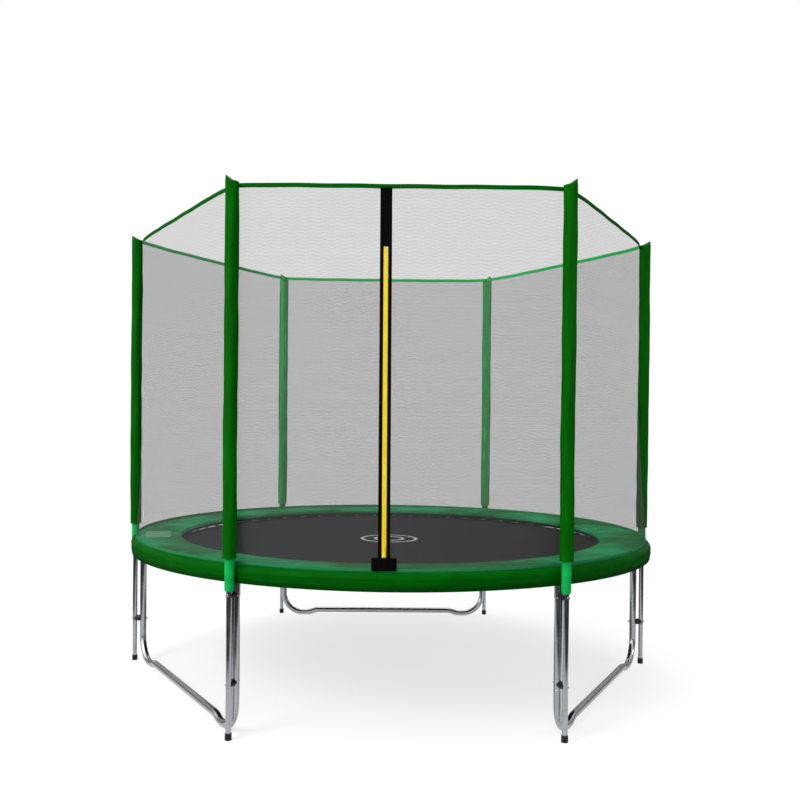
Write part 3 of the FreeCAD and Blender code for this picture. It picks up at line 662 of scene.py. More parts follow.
@dataclass(frozen=True)
class MatCloth(Finish):
    """Woven jumping cloth, with a printed double ring in its middle."""

    yarn: float = 0.0028
    ring: float = 0.165
    inner_ring: float = 0.085
    line: float = 0.011
    ink: Colour = (0.55, 0.56, 0.56)

    def dress(self, r: Recipe) -> bpy.types.Material:
        """The weave is two crossed sines; each ring is a band at one distance from the middle.

        Args:
            r: The recipe that its nodes are added to.

        Returns:
            The finished material.
        """
        here = r.place()
        x, y = r.part(here, 0), r.part(here, 1)
        warp = r.maths("SINE", r.maths("MULTIPLY", x, TURN / self.yarn))
        weft = r.maths("SINE", r.maths("MULTIPLY", y, TURN / self.yarn))
        weave = r.maths("MULTIPLY", warp, weft)
        streaks = r.noise(r.stretch(here, (1.5, 60.0, 1.0)), 1.0, 3.0)
        clouds = r.noise(here, 2.4, 4.0)
        tone = r.maths("ADD", r.maths("MULTIPLY", streaks, 0.5), r.maths("MULTIPLY", clouds, 0.5))
        colour = r.blend(r.between(tone, 0.35, 0.68), shade(self.colour, 0.85), shade(self.colour, 1.22))
        colour = r.blend(r.between(weave, -1.0, 1.0, (0.0, 0.25)), colour, shade(self.colour, 1.7))
        far = r.off_axis(here)
        rings = [
            r.between(r.maths("ABSOLUTE", r.maths("SUBTRACT", far, radius)), self.line, self.line * 0.8)
            for radius in (self.ring, self.inner_ring)
        ]
        mark = r.maths("MAXIMUM", rings[0], rings[1])
        worn = r.maths("MULTIPLY", mark, r.between(r.noise(here, 320.0, 2.0), 0.3, 0.5, (0.65, 1.0)))
        colour = r.blend(worn, colour, self.ink)
        rough = r.between(clouds, 0.3, 0.7, (self.roughness, self.roughness + 0.1))
        normal = r.relief(weave, 0.0002)
        return r.done(Base_Color=colour, Roughness=rough, Normal=normal, Specular_IOR_Level=0.03)


@dataclass(frozen=True)
class StudioFloor(Finish):
    """Plain pale floor, lit from behind so that it turns white away from the object."""

    near: float = 0.70
    reach: Pair = (1.3, 3.0)
    spill: float = 0.5
    card: float = 1.1

    def dress(self, r: Recipe) -> bpy.types.Material:
        """The floor's own glow grows with the distance from its middle, and lights little else.

        Polished metal sees a bright ring on it, dark inside and outside, as it would in a studio
        with cards laid out.

        Args:
            r: The recipe that its nodes are added to.

        Returns:
            The finished material.
        """
        here = r.place()
        far = r.add("ShaderNodeVectorMath", {"operation": "LENGTH"}, i0=here).outputs["Value"]
        glow = r.between(far, *self.reach, (self.near, 1.0))
        seen = r.add("ShaderNodeLightPath").outputs["Is Camera Ray"]
        glow = r.maths("MULTIPLY", glow, r.between(seen, 0.0, 1.0, (self.spill, 1.0)))
        inside = r.between(far, self.card - 0.5, self.card + 0.2)
        band = r.maths("MULTIPLY", inside, r.between(far, self.card + 1.2, self.card + 1.9, (1.0, 0.0)))
        mirrored = r.add("ShaderNodeLightPath").outputs["Is Glossy Ray"]
        cards = r.maths("SUBTRACT", r.between(band, 0.0, 1.0, (0.10, 1.15)), 1.0)
        glow = r.maths("MULTIPLY", glow, r.maths("ADD", r.maths("MULTIPLY", cards, mirrored), 1.0))
        colour = r.blend(r.between(far, *self.reach), self.colour, (0.0, 0.0, 0.0))
        return r.done(
            Base_Color=colour,
            Roughness=self.roughness,
            Specular_IOR_Level=0.0,
            Emission_Color=(1.0, 1.0, 1.0, 1.0),
            Emission_Strength=glow,
        )


STEEL = GalvanizedSteel("galvanized steel", (0.52, 0.54, 0.56), 0.14)
FASTENER = ZincWire("zinc fasteners", (0.60, 0.60, 0.60), 0.28)
WIRE = ZincWire("zinc wire", (0.42, 0.43, 0.44), 0.38)
BLACK = MouldedPlastic("black plastic", (0.006, 0.006, 0.007), 0.42)
ENAMEL = MouldedPlastic("yellow enamel", (0.84, 0.54, 0.0), 0.3, grain=1500.0, gloss=0.25)
FOAM = FoamSkin("green foam", (0.0, 0.38, 0.07), 0.75)
# The sleeve's lighter inner colour is painted light on the side that faces the middle of the trampoline.
SLEEVE = CoatedCloth(
    "dark green sleeve",
    (0.0, 0.094, 0.0),
    0.5,
    crease=0.0016,
    crease_scale=(34.0, 34.0, 5.0),
    gloss=0.03,
    painted_inner_light=(0.0, 0.62, 0.10),
)
PAD = CoatedCloth(
    "green padded cover",
    (0.0, 0.140, 0.018),
    0.34,
    weave=480.0,
    crease=0.0030,
    crease_scale=(7.0, 7.0, 22.0),
    gloss=0.025,
    # Painted sheen: lighter clouds on the cover's top, as if it caught the light.
    patch=(0.008, 0.35, 0.125),
    # Skirt painted darker than the top, as shade.
    skirt=(0.0, 0.074, 0.001),
    # Near-black painted shade on the underside.
    painted_underside_shade=(0.004, 0.005, 0.005),
    crease_share=0.25,
)
# The top strap's and foot hem's lighter inner colours are painted light on the side that faces the middle of the
# trampoline.
GREEN_TAPE = WovenTape(
    "green tape",
    (0.0, 0.088, 0.001),
    0.6,
    width=0.022,
    thread=(0.0, 0.13, 0.01),
    painted_inner_light=(0.0, 0.50, 0.075),
)
HEM_TAPE = WovenTape(
    "light green tape",
    (0.020, 0.19, 0.07),
    0.6,
    width=0.018,
    thread=(0.0, 0.14, 0.03),
    painted_inner_light=(0.02, 0.25, 0.09),
)
BLACK_TAPE = WovenTape(
    "black tape", (0.0012, 0.0012, 0.0012), 0.65, width=0.0275, thread=(0.008, 0.008, 0.008)
)
MAT_TAPE = WovenTape("mat edge tape", (0.012, 0.012, 0.012), 0.65, width=0.05, thread=(0.08, 0.08, 0.08))
ELASTIC = WovenTape("black elastic", (0.01, 0.01, 0.01), 0.7, width=0.015)
ZIP_TAPE = WovenTape("yellow zip tape", (0.88, 0.60, 0.0), 0.55, width=0.0085, thread=(0.9, 0.65, 0.02))
ZIP_TEETH = MouldedPlastic("yellow zip teeth", (0.86, 0.58, 0.0), 0.4, grain=1500.0, gloss=0.12)
NET = Netting("knitted netting", (0.085, 0.085, 0.085), 0.8)
MAT = MatCloth("jumping cloth", (0.0165, 0.0165, 0.0175), 0.7)
PATCH = CoatedCloth("blank patch", (0.12, 0.34, 0.19), 0.4, weave=600.0, crease=0.0004, coat=0.1)
FLOOR = StudioFloor("studio floor", (0.34, 0.34, 0.34), 0.9)


# ----------------------------------------------------------------------------- making pieces


def mark_inwards(mesh: bpy.types.Mesh, poles: float, light: float) -> None:
    """Notes at each point how far it faces the middle of the trampoline, from 0 to 1.

    Round a pole that is half of one minus the cosine between the way out from the pole's own axis
    and the way out from the middle. Elsewhere the point's normal takes the first one's place.

    Args:
        mesh: The mesh.
        poles: The circle that the poles stand on, or 0 for a piece that goes round no pole.
        light: The numbers are multiplied by this, so that more of the piece counts as its inner side and takes
            the painted light; 0 paints none.
    """
    # The share marks the inner side, which the cloth and tape finishes paint lighter as painted light.
    place = np.empty(len(mesh.vertices) * 3)
    mesh.vertices.foreach_get("co", place)
    place = place.reshape(-1, 3)[:, :2]
    normal = np.empty(len(mesh.vertices) * 3)
    mesh.vertex_normals.foreach_get("vector", normal)
    away = normal.reshape(-1, 3)[:, :2]
    if poles:
        turn = np.round(np.arctan2(place[:, 1], place[:, 0]) / (TURN / 6)) * (TURN / 6)
        out = np.stack([np.cos(turn), np.sin(turn)], 1)
        away = unit(place - poles * out)
    else:
        out = unit(place)
    share = light * (0.5 - 0.5 * (away * out).sum(1))
    mesh.attributes.new("inwards", "FLOAT", "POINT").data.foreach_set("value", share.astype(np.float32))


def make_piece(
    name: str,
    grids: Iterable[Grid],
    finishes: Sequence[Finish],
    body: str | None,
    sharp: float = 38.0,
    poles: float = 0.0,
    light: float = 1.0,
) -> bpy.types.Object:
    """Joins surfaces into one closed mesh object and lets it ride on a body.

    Args:
        name: The piece's name.
        grids: Its surfaces.
        finishes: Its finishes, in the order that the surfaces number them.
        body: The body that it rides on, or None.
        sharp: Edges that turn by more than this many degrees stay sharp.
        poles: The circle that the poles stand on, for pieces that go round a pole.
        light: How much wider than usual its inner side with painted light is; 0 gives it none.

    Returns:
        The object.
    """
    points, corners, cloth, slots, first = [], [], [], [], 0
    for grid in grids:
        stack = grid.stack().reshape(-1, 3)
        faces, spots = grid.faces()
        points.append(stack)
        corners.append(faces + first)
        cloth.append(spots)
        slots.append(np.full(len(faces), grid.finish, np.int32))
        first += len(stack)
    mesh = bpy.data.meshes.new(name)
    mesh.from_pydata(np.concatenate(points), [], np.concatenate(corners))
    spots = np.concatenate(cloth).astype(np.float32).ravel()
    mesh.uv_layers.new(name="cloth").data.foreach_set("uv", spots)
    mesh.polygons.foreach_set("material_index", np.concatenate(slots))
    for finish in finishes:
        mesh.materials.append(finish.material())
    shell = bmesh.new()
    shell.from_mesh(mesh)
    bmesh.ops.remove_doubles(shell, verts=shell.verts, dist=2e-6)
    bmesh.ops.dissolve_degenerate(shell, edges=shell.edges, dist=1e-7)
    bmesh.ops.recalc_face_normals(shell, faces=shell.faces)
    shell.to_mesh(mesh)
    shell.free()
    mesh.shade_smooth()
    mesh.set_sharp_from_angle(angle=math.radians(sharp))
    mark_inwards(mesh, poles, light)
    piece = bpy.data.objects.new(name, mesh)
    bpy.context.scene.collection.objects.link(piece)
    if body is not None:
        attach(piece, body)
    LOG.info("%s: %d faces", name, len(mesh.polygons))
    return piece


def dress_node(name: str, finish: Finish) -> None:
    """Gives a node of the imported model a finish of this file.

    Args:
        name: The node's name.
        finish: Its finish.
    """
    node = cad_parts[name]
    node.data.materials.clear()
    node.data.materials.append(finish.material())
    LOG.info("%s: finished in %s", name, finish.name)


class Body(str, Enum):
    """The bodies that pieces ride on."""

    FRAME = "frame"
    MAT = "mat"


@dataclass(frozen=True)
class Layout:
    """Where things are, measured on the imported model, in metres."""

    pole_circle: float
    chord: float
    sleeve: Pair
    sleeve_radius: float
    foam: Pair
    strap: Pair
    foot: Pair
    foot_radius: float
    pad: Pair
    pad_radius: float
    mat: Pair
    mat_radius: float
    band_top: float
    rail_radius: float
    rail_height: float
    door: float

    @classmethod
    def measure(cls) -> "Layout":
        """Reads the boxes of the nodes that the new pieces hang on."""
        poles, sleeves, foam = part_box("pole_upper_1"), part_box("net_pole_sleeves"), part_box("pole_foam_tubes")
        strap, foot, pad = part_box("net_top_strap"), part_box("net_foot_hem"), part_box("edge_pad")
        mat, band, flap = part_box("jumping_mat"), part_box("mat_edge_band"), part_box("door_flap")
        leg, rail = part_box("leg_upright_1"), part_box("top_rail_1")
        circle_radius = (poles[0].x + poles[1].x) / 2
        return cls(
            pole_circle=circle_radius,
            chord=strap[1].y - 0.0015,
            sleeve=(sleeves[0].z, sleeves[1].z),
            sleeve_radius=sleeves[1].x - circle_radius,
            foam=(foam[0].z, foam[1].z),
            strap=(strap[0].z, strap[1].z),
            foot=(foot[0].z, foot[1].z),
            foot_radius=foot[1].x - 0.0015,
            pad=(pad[0].z, pad[1].z),
            pad_radius=pad[1].x,
            mat=(mat[0].z, mat[1].z),
            mat_radius=mat[1].x,
            band_top=band[1].z,
            rail_radius=(leg[0].x + leg[1].x) / 2,
            rail_height=rail[1].z - RAIL_TUBE,
            door=(flap[0].x + flap[1].x) / 2,
        )


RAIL_TUBE, POLE_TUBE = 0.019, 0.0135
POLE_STEP = 60.0
AZIMUTHS = tuple(POLE_STEP * k for k in range(6))
SLEEVE_RISE = {60.0: 30.0, 120.0: 150.0, 240.0: 210.0, 300.0: 330.0}
HALF_SIDE = math.radians(POLE_STEP / 2)
SIDES = {
    "right_back": 30.0,
    "back": 90.0,
    "left_back": 150.0,
    "left_front": 210.0,
    "right_front": 330.0,
}


# ----------------------------------------------------------------------------- frame


@dataclass
class SteelFrame:
    """Rails, legs, poles and what holds them together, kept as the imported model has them."""

    layout: Layout
    weld: float = 0.0022
    weld_circle: float = 0.0212
    collar: float = 0.0011
    socket_mouth: float = 0.0206

    def build(self) -> None:
        """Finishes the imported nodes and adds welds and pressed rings."""
        for number in range(1, len(AZIMUTHS) + 1):
            for kind in ("top_rail", "leg_upright", "pole_lower", "pole_upper"):
                dress_node(f"{kind}_{number}", STEEL)
        for side in ("back", "left", "right"):
            dress_node(f"leg_base_{side}", STEEL)
        for name in ("rail_joint_screws", "pole_bolts", "pole_nuts"):
            dress_node(name, FASTENER)
        for name in ("pole_foot_caps", "pole_top_caps", "pole_spacers"):
            dress_node(name, BLACK)
        dress_node("pad_ties", ELASTIC)
        make_piece("socket_welds", [self.welds()], [STEEL], Body.FRAME)
        make_piece("swage_rings", self.rings(), [FASTENER], Body.FRAME)

    def welds(self) -> Grid:
        """A weld bead where each socket meets its rail.

        The bead follows the line where an upright cylinder cuts a level one: its height at an angle
        is the rail's surface above that point, and its girth swells and shrinks like laid metal.
        """
        turn = TURN * np.arange(96) / 96
        x, y = self.weld_circle * np.cos(turn), self.weld_circle * np.sin(turn)
        inside = np.sqrt(np.maximum(RAIL_TUBE**2 - x**2, 0.0))
        path = np.stack([self.layout.rail_radius + x, y, self.layout.rail_height - inside], 1)
        swell = 1.0 + 0.16 * np.sin(30 * turn)
        bead = carried(path, (0, 0, 1), circle(self.weld, 8), swell, closed=True)
        return spun_grid(bead, AZIMUTHS)

    def rings(self) -> list[Grid]:
        """A thin rolled edge round each tube where it takes the next one."""
        rail, pole = self.layout.rail_radius, self.layout.pole_circle
        leg, upper, socket = (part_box(n)[0].z for n in ("leg_upright_1", "pole_upper_1", "top_rail_1"))
        return [
            self.ring(rail, RAIL_TUBE, leg + 0.002),
            self.ring(pole, POLE_TUBE, upper + 0.002),
            self.ring(rail, self.socket_mouth, socket + 0.001),
        ]

    def ring(self, out: float, tube: float, height: float) -> Grid:
        """A ring round an upright tube, at each of the six poles or legs.

        Args:
            out: Distance of the tube from the middle of the trampoline.
            tube: Radius of the tube.
            height: Height of the ring.

        Returns:
            The six rings.
        """
        turn = TURN * np.arange(48) / 48
        path = np.stack([out + tube * np.cos(turn), tube * np.sin(turn), np.full(48, height)], 1)
        return spun_grid(carried(path, (0, 0, 1), circle(self.collar, 6), closed=True), AZIMUTHS)


# ----------------------------------------------------------------------------- pole covers


@dataclass
class PoleCovers:
    """Foam tubes round the poles and the fabric sleeves over them."""

    layout: Layout
    foam_radius: float = 0.0225
    foam_bore: float = 0.0140
    sleeve_wall: float = 0.0012
    seam_start: float = 2.568
    slant: float = 28.0
    back_light: float = 1.45
    sides: int = 64

    def build(self) -> None:
        """Makes the foam tubes and one sleeve for each pole."""
        tubes = spun_grid(self.foam(), AZIMUTHS)
        foam = make_piece("foam_tubes", [tubes], [FOAM], Body.FRAME)
        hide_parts("pole_foam_tubes")
        for number, azimuth in enumerate(AZIMUTHS, start=1):
            # Only the two back poles' sleeves take painted light on their inner side, widened by the number set
            # for them; the other sleeves take none.
            sleeve = make_piece(
                f"pole_sleeve_{number}",
                [self.sleeve(azimuth, number)],
                [SLEEVE],
                Body.FRAME,
                poles=self.layout.pole_circle,
                light=self.back_light if azimuth in (60.0, 120.0) else 0.0,
            )
            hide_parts("net_pole_sleeves")

    def foam(self) -> Grid:
        """A thick-walled tube with soft rings where it has been squeezed, and a rounded lower end."""
        low, high = self.layout.foam
        z = np.linspace(low, high, 150)
        ease = np.sqrt(np.clip(1 - np.clip(1 - (z - low) / 0.006, 0, 1) ** 2, 0, 1))
        ripple = 0.0006 * np.sin(z * 95.0) * np.sin(z * 23.0) - 0.0004 * (1 - ease) * 6
        outer = np.stack([self.foam_radius + ripple, z], 1)
        inner = np.stack([np.full(2, self.foam_bore), [high, low]], 1)
        profile = np.concatenate([outer, inner])
        ring = turned(profile, TURN * np.arange(40) / 40)
        ring.points[..., 0] += self.layout.pole_circle
        return ring

    def sleeve(self, azimuth: float, number: int) -> Grid:
        """A cloth tube, closed above by a flat seam that rises outwards.

        Round the tube the radius has long soft folds, a sum of slow sines in angle and height. Near
        the top the tube's depth shrinks towards the seam, whose height grows along the lean.

        Args:
            azimuth: The pole's azimuth, in degrees.
            number: The pole's number, which sets how its folds fall.

        Returns:
            The sleeve, inner face and outer face.
        """
        low, high = self.layout.sleeve
        lean = math.radians(SLEEVE_RISE.get(azimuth, azimuth))
        t = np.concatenate([np.linspace(0, 0.965, 120), np.linspace(0.965, 1.0, 26)[1:]])[:, None]
        turn = (TURN * np.arange(self.sides) / self.sides)[None]
        radius = self.layout.sleeve_radius - 0.001
        reach = math.tan(math.radians(self.slant)) * radius
        middle = high - 0.012 - reach
        z = low + t * (middle - low)
        seam = smoothstep(z, self.seam_start, middle)
        z = z + seam * reach * np.cos(turn - lean)
        fold = 0.0011 * np.sin(3 * turn + 4.1 * z + number)
        fold = fold + 0.0008 * np.sin(5 * turn - 9.0 * z + 2 * number)
        fold = fold + 0.0010 * np.sin(2 * turn + 21.0 * z + 1.7 * number) * np.sin(6.0 * z + number)
        hem = 0.0012 * np.exp(-(((z - low - 0.012) / 0.004) ** 2))
        away = radius + fold * (1 - seam) - hem
        width, depth = away * np.cos(turn - lean), away * np.sin(turn - lean) * (1 - 0.94 * seam)
        a, pole = math.radians(azimuth), self.layout.pole_circle
        layers = []
        for inset in (0.0, self.sleeve_wall):
            shrink = 1 - inset / radius
            w, d = width * shrink, depth * shrink * (1 - 0.5 * seam * (inset > 0))
            x = w * math.cos(lean) - d * math.sin(lean) + pole * math.cos(a)
            y = w * math.sin(lean) + d * math.cos(lean) + pole * math.sin(a)
            layers.append(np.stack([x, y, z - inset * (z > self.seam_start)], -1))
        outer, inner = layers
        ends = [np.repeat(s[-1:].mean(1, keepdims=True), self.sides, 1) for s in (inner, outer)]
        points = np.concatenate([ends[0], inner[::-1], outer, ends[1]])
        girth = np.linspace(0, TURN * radius, self.sides + 1)
        rows = np.concatenate([[z[-1].mean()], z[::-1].mean(1), z.mean(1), [z[-1].mean()]])
        cloth = np.stack(np.meshgrid(rows, girth, indexing="ij"), -1)[..., ::-1]
        return Grid(points, cloth)


# ----------------------------------------------------------------------------- net


@dataclass
class SafetyNet:
    """Seven panels of netting, the strap along their tops and the hem at their feet."""

    layout: Layout
    thickness: float = 0.0008
    columns: int = 120
    rows: int = 70
    tuck: float = 0.11

    def build(self) -> None:
        """Makes each panel, then the strap and the hem."""
        for name, middle in SIDES.items():
            self.panel(f"net_{name}", f"net_panel_{name}", middle, None, None)
        left, right = self.layout.door - 0.0278, self.layout.door + 0.0278
        self.panel("net_front_left", "net_panel_front_left", 270.0, None, left)
        self.panel("net_front_right", "net_panel_front_right", 270.0, right, None)
        straps = spun_grid(self.strap(), [a + POLE_STEP / 2 for a in AZIMUTHS])
        strap = make_piece("top_strap", [straps], [GREEN_TAPE], Body.FRAME)
        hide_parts("net_top_strap")
        hem = make_piece("foot_hem", [self.hem()], [HEM_TAPE], Body.FRAME)
        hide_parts("net_foot_hem")

    def beside_pole(self, height: np.ndarray) -> np.ndarray:
        """How far out a panel's edge is, where it lies against the inner side of a pole's sleeve.

        The edge stays in the upright plane through the pole and the middle of the trampoline, and
        its distance from the middle grows from the foot's radius to the sleeve's inner side.

        Args:
            height: Share of the panel's height, from 0 to 1.

        Returns:
            Distance from the middle.
        """
        foot = self.layout.foot_radius
        sleeve = self.layout.pole_circle - self.layout.sleeve_radius - 0.0006
        return foot + (sleeve - foot) * smoothstep(height, 0.0, 0.12)

    def panel(self, name: str, node: str, middle: float, left: float | None, right: float | None) -> None:
        """One panel, straight along its top and round along its foot.

        A point is foot + v * (top - foot), pushed inwards or outwards by small folds: gathers that
        fade away upwards from the hem, and pulls that fade away sideways from the poles.

        Args:
            name: The piece's name.
            node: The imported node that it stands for.
            middle: The azimuth of the panel's middle, in degrees.
            left: Where it begins, along its chord from its middle, or None at the pole.
            right: Where it ends, or None at the pole.
        """
        full = self.layout.foot_radius * math.sin(HALF_SIDE)
        foot = (-full if left is None else left, full if right is None else right)
        columns = max(24, int(self.columns * (foot[1] - foot[0]) / full / 2))
        u, v = np.linspace(0, 1, columns + 1)[None], np.linspace(0, 1, self.rows + 1)[:, None]
        low, high = self.layout.foot[1] - 0.004, self.layout.strap[0] + 0.004
        z = low + v * (high - low)
        at_pole = self.beside_pole(v)
        limit = at_pole * math.sin(HALF_SIDE) - 0.0004
        start = -limit if left is None else left + 0 * limit
        end = limit if right is None else right + 0 * limit
        across = start + u * (end - start)
        foot_out = np.sqrt(self.layout.foot_radius**2 - across**2)
        out = foot_out + v * (self.layout.chord - foot_out)
        beside = np.minimum(across - across[:, :1], across[:, -1:] - across)
        from_pole = np.minimum(limit - across, limit + across)
        plain = np.sqrt(self.layout.foot_radius**2 - limit**2) * (1 - v) + v * self.layout.chord
        out = out - (plain - at_pole * math.cos(HALF_SIDE)) * np.exp(-from_pole / self.tuck)
        gathers = 0.0016 * np.sin(across * 61.0 + 2.0 * np.sin(across * 9.0)) * np.exp(-(z - low) / 0.10)
        pulls = 0.0022 * np.sin(z * 34.0 + middle) * np.exp(-beside / 0.06)
        belly = -0.010 * np.sin(math.pi * v) * np.sin(math.pi * u) + 0.0025 * np.sin(5 * v + 7 * u + middle)
        out = out + (gathers + pulls + belly) * smoothstep(v, 0.0, 0.02) * smoothstep(1 - v, 0.0, 0.02)
        a = math.radians(middle)
        outwards = np.array([math.cos(a), math.sin(a), 0.0])
        sideways = np.array([-math.sin(a), math.cos(a), 0.0])
        sheet = out[..., None] * outwards + across[..., None] * sideways
        sheet[..., 2] = z
        half = outwards * self.thickness / 2
        edge = np.array([0, *range(self.rows + 1), self.rows])
        thick = np.ones(len(edge))
        thick[[0, -1]] = 0.0
        sheet, thick = sheet[edge], thick[:, None, None]
        points = np.concatenate([sheet + half * thick, (sheet - half * thick)[:, ::-1]], 1)
        width, tall = foot[1] - foot[0], high - low
        side = np.concatenate([u[0], u[0][::-1], [0]]) * width
        cloth = np.stack(np.meshgrid(v[edge, 0] * tall, side, indexing="ij"), -1)[..., ::-1]
        net = make_piece(name, [Grid(points, cloth)], [NET], Body.FRAME)
        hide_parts(node)

    def strap(self) -> Grid:
        """A doubled strap, a little slack in its middle, that passes each pole on its inner side."""
        inner = self.layout.pole_circle - self.layout.sleeve_radius - 0.0012
        half = inner * math.sin(HALF_SIDE)
        y = np.linspace(-half, half, 121)
        slack = (y / half) ** 2 - 1
        low, high = self.layout.strap
        tuck = self.layout.chord - inner * math.cos(HALF_SIDE)
        x = self.layout.chord + 0.0006 * np.sin(y * 17.0) - tuck * np.exp(-(half - np.abs(y)) / self.tuck)
        z = (low + high) / 2 + 0.0025 * slack + 0.0007 * np.sin(y * 23.0)
        path = np.stack([x, y, z], 1)
        return carried(path, (0, 0, 1), rounded_bar(0.0028, high - low - 0.001, 0.0011))

    def hem(self) -> Grid:
        """The rolled hem that stands on the padded cover."""
        low, high = self.layout.foot
        angles = TURN * np.arange(480) / 480
        middle = [self.layout.foot_radius, (low + high) / 2 - 0.0012]
        section = rounded_bar(0.0030, high - low + 0.001, 0.0013) + middle
        profile = np.repeat(section[None], 480, 0).copy()
        profile[..., 0] += (0.0005 * np.sin(97 * angles))[:, None]
        return turned(profile, angles)


# ----------------------------------------------------------------------------- door


@dataclass
class Door:
    """The zipped way in: webbing, zip, flap and slider."""

    layout: Layout
    width: float = 0.055
    zip_half: float = 0.010
    gap: float = 0.0003
    tooth_pitch: float = 0.0042
    flap_width: float = 0.113
    flap_out: float = 0.0046

    def build(self) -> None:
        """Makes the door's parts and finishes its slider and pull tabs."""
        self.zip_low, self.zip_high = (p.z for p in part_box("zip_tape_left"))
        webbing = make_piece("door_webbing", self.webbing(), [BLACK_TAPE], Body.FRAME)
        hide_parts("door_webbing_left", "door_webbing_right")
        zip_piece = make_piece("door_zip", self.zip(), [ZIP_TAPE, ZIP_TEETH], Body.FRAME)
        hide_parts("zip_tape_left", "zip_tape_right")
        flap = make_piece("door_foot_flap", [self.flap()], [BLACK_TAPE], Body.FRAME)
        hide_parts("door_flap")
        for name in ("zip_slider", "zip_pull_outside", "zip_pull_inside"):
            dress_node(name, ENAMEL)

    def spot(self, across: Numbers, out: Numbers, height: Numbers) -> np.ndarray:
        """Points in the door's own leaning plane.

        Args:
            across: Distance to the right of the door's middle line.
            out: Distance outwards from the netting.
            height: Height above the ground.

        Returns:
            The points, with the last dimension x, y, z.
        """
        low, high = self.layout.foot[1], self.layout.strap[0]
        foot = math.sqrt(self.layout.foot_radius**2 - self.layout.door**2)
        lean = (foot - self.layout.chord) / (high - low)
        across, out, height = np.broadcast_arrays(across, out, height)
        y = -(foot - (height - low) * lean) - out
        return np.stack([self.layout.door + across, y, height], -1)

    def band(self, left: float, right: float, out: Pair, low: float, high: float) -> Grid:
        """An upright band with rounded edges, with a slight wave along it.

        Args:
            left: Where it begins, to the right of the door's middle line.
            right: Where it ends.
            out: Where its inner and outer face are, outwards from the netting.
            low: Height of its foot.
            high: Height of its top.

        Returns:
            The band.
        """
        z = np.linspace(low, high, max(8, int((high - low) / 0.02)))
        path = self.spot((left + right) / 2, sum(out) / 2 + 0.0003 * np.sin(z * 31.0), z)
        thick = out[1] - out[0]
        return carried(path, (0, 1, 0), rounded_bar(right - left, thick, thick * 0.42))

    def webbing(self) -> list[Grid]:
        """Two side bands, and the band above the zip and the band below it."""
        low, high = self.layout.foot[1] + 0.001, self.layout.strap[0] + 0.004
        edge, inner = self.width / 2, self.zip_half + 0.0003
        out = (-0.0014, 0.0014)
        return [
            self.band(-edge, -inner, out, low, high),
            self.band(inner, edge, out, low, high),
            self.band(-inner, inner, out, self.zip_high + 0.001, high),
            self.band(-inner, inner, out, low, self.zip_low - 0.001),
        ]

    def zip(self) -> list[Grid]:
        """Two tapes and a row of teeth on each, out of step by half a pitch."""
        low, high = self.zip_low + 0.0008, self.zip_high - 0.0008
        tapes = [
            self.band(-self.zip_half, -self.gap, (-0.0006, 0.0006), low, high),
            self.band(self.gap, self.zip_half, (-0.0006, 0.0006), low, high),
        ]
        tooth = rounded_bar(0.0026, 0.0019, 0.0005, 2)
        rises = np.arange(low + 0.004, high - 0.004, self.tooth_pitch)
        for side in (-1, 1):
            heights = rises + (self.tooth_pitch / 2 if side > 0 else 0.0)
            path = np.stack([np.zeros(3), np.linspace(-0.0013, 0.0013, 3), np.zeros(3)], 1)
            base = carried(path, (0, 0, 1), tooth, np.array([0.85, 1.0, 0.85]))
            places = self.spot(side * (self.gap + 0.0009), 0.0, heights)[:, None, None]
            tapes.append(Grid(base.points[None] + places, base.cloth, finish=1))
        return tapes

    def flap(self) -> Grid:
        """The stiff black flap at the door's foot, with rounded corners and a slightly full middle."""
        low, high = (p.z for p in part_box("door_flap"))
        z = np.concatenate([[0, 0.004, 0.02], np.linspace(0.08, 0.92, 12), [0.98, 0.996, 1.0]])
        z = z * (high - low) + low
        path = self.spot(0.0, self.flap_out, z)
        ends = np.minimum(z - low, high - z)
        narrow = 1 - 0.05 * np.exp(-ends / 0.0025)
        bar = rounded_bar(self.flap_width, 0.0021, 0.0009)
        return carried(path, (0, 1, 0), bar, narrow)


# ----------------------------------------------------------------------------- jumping bed


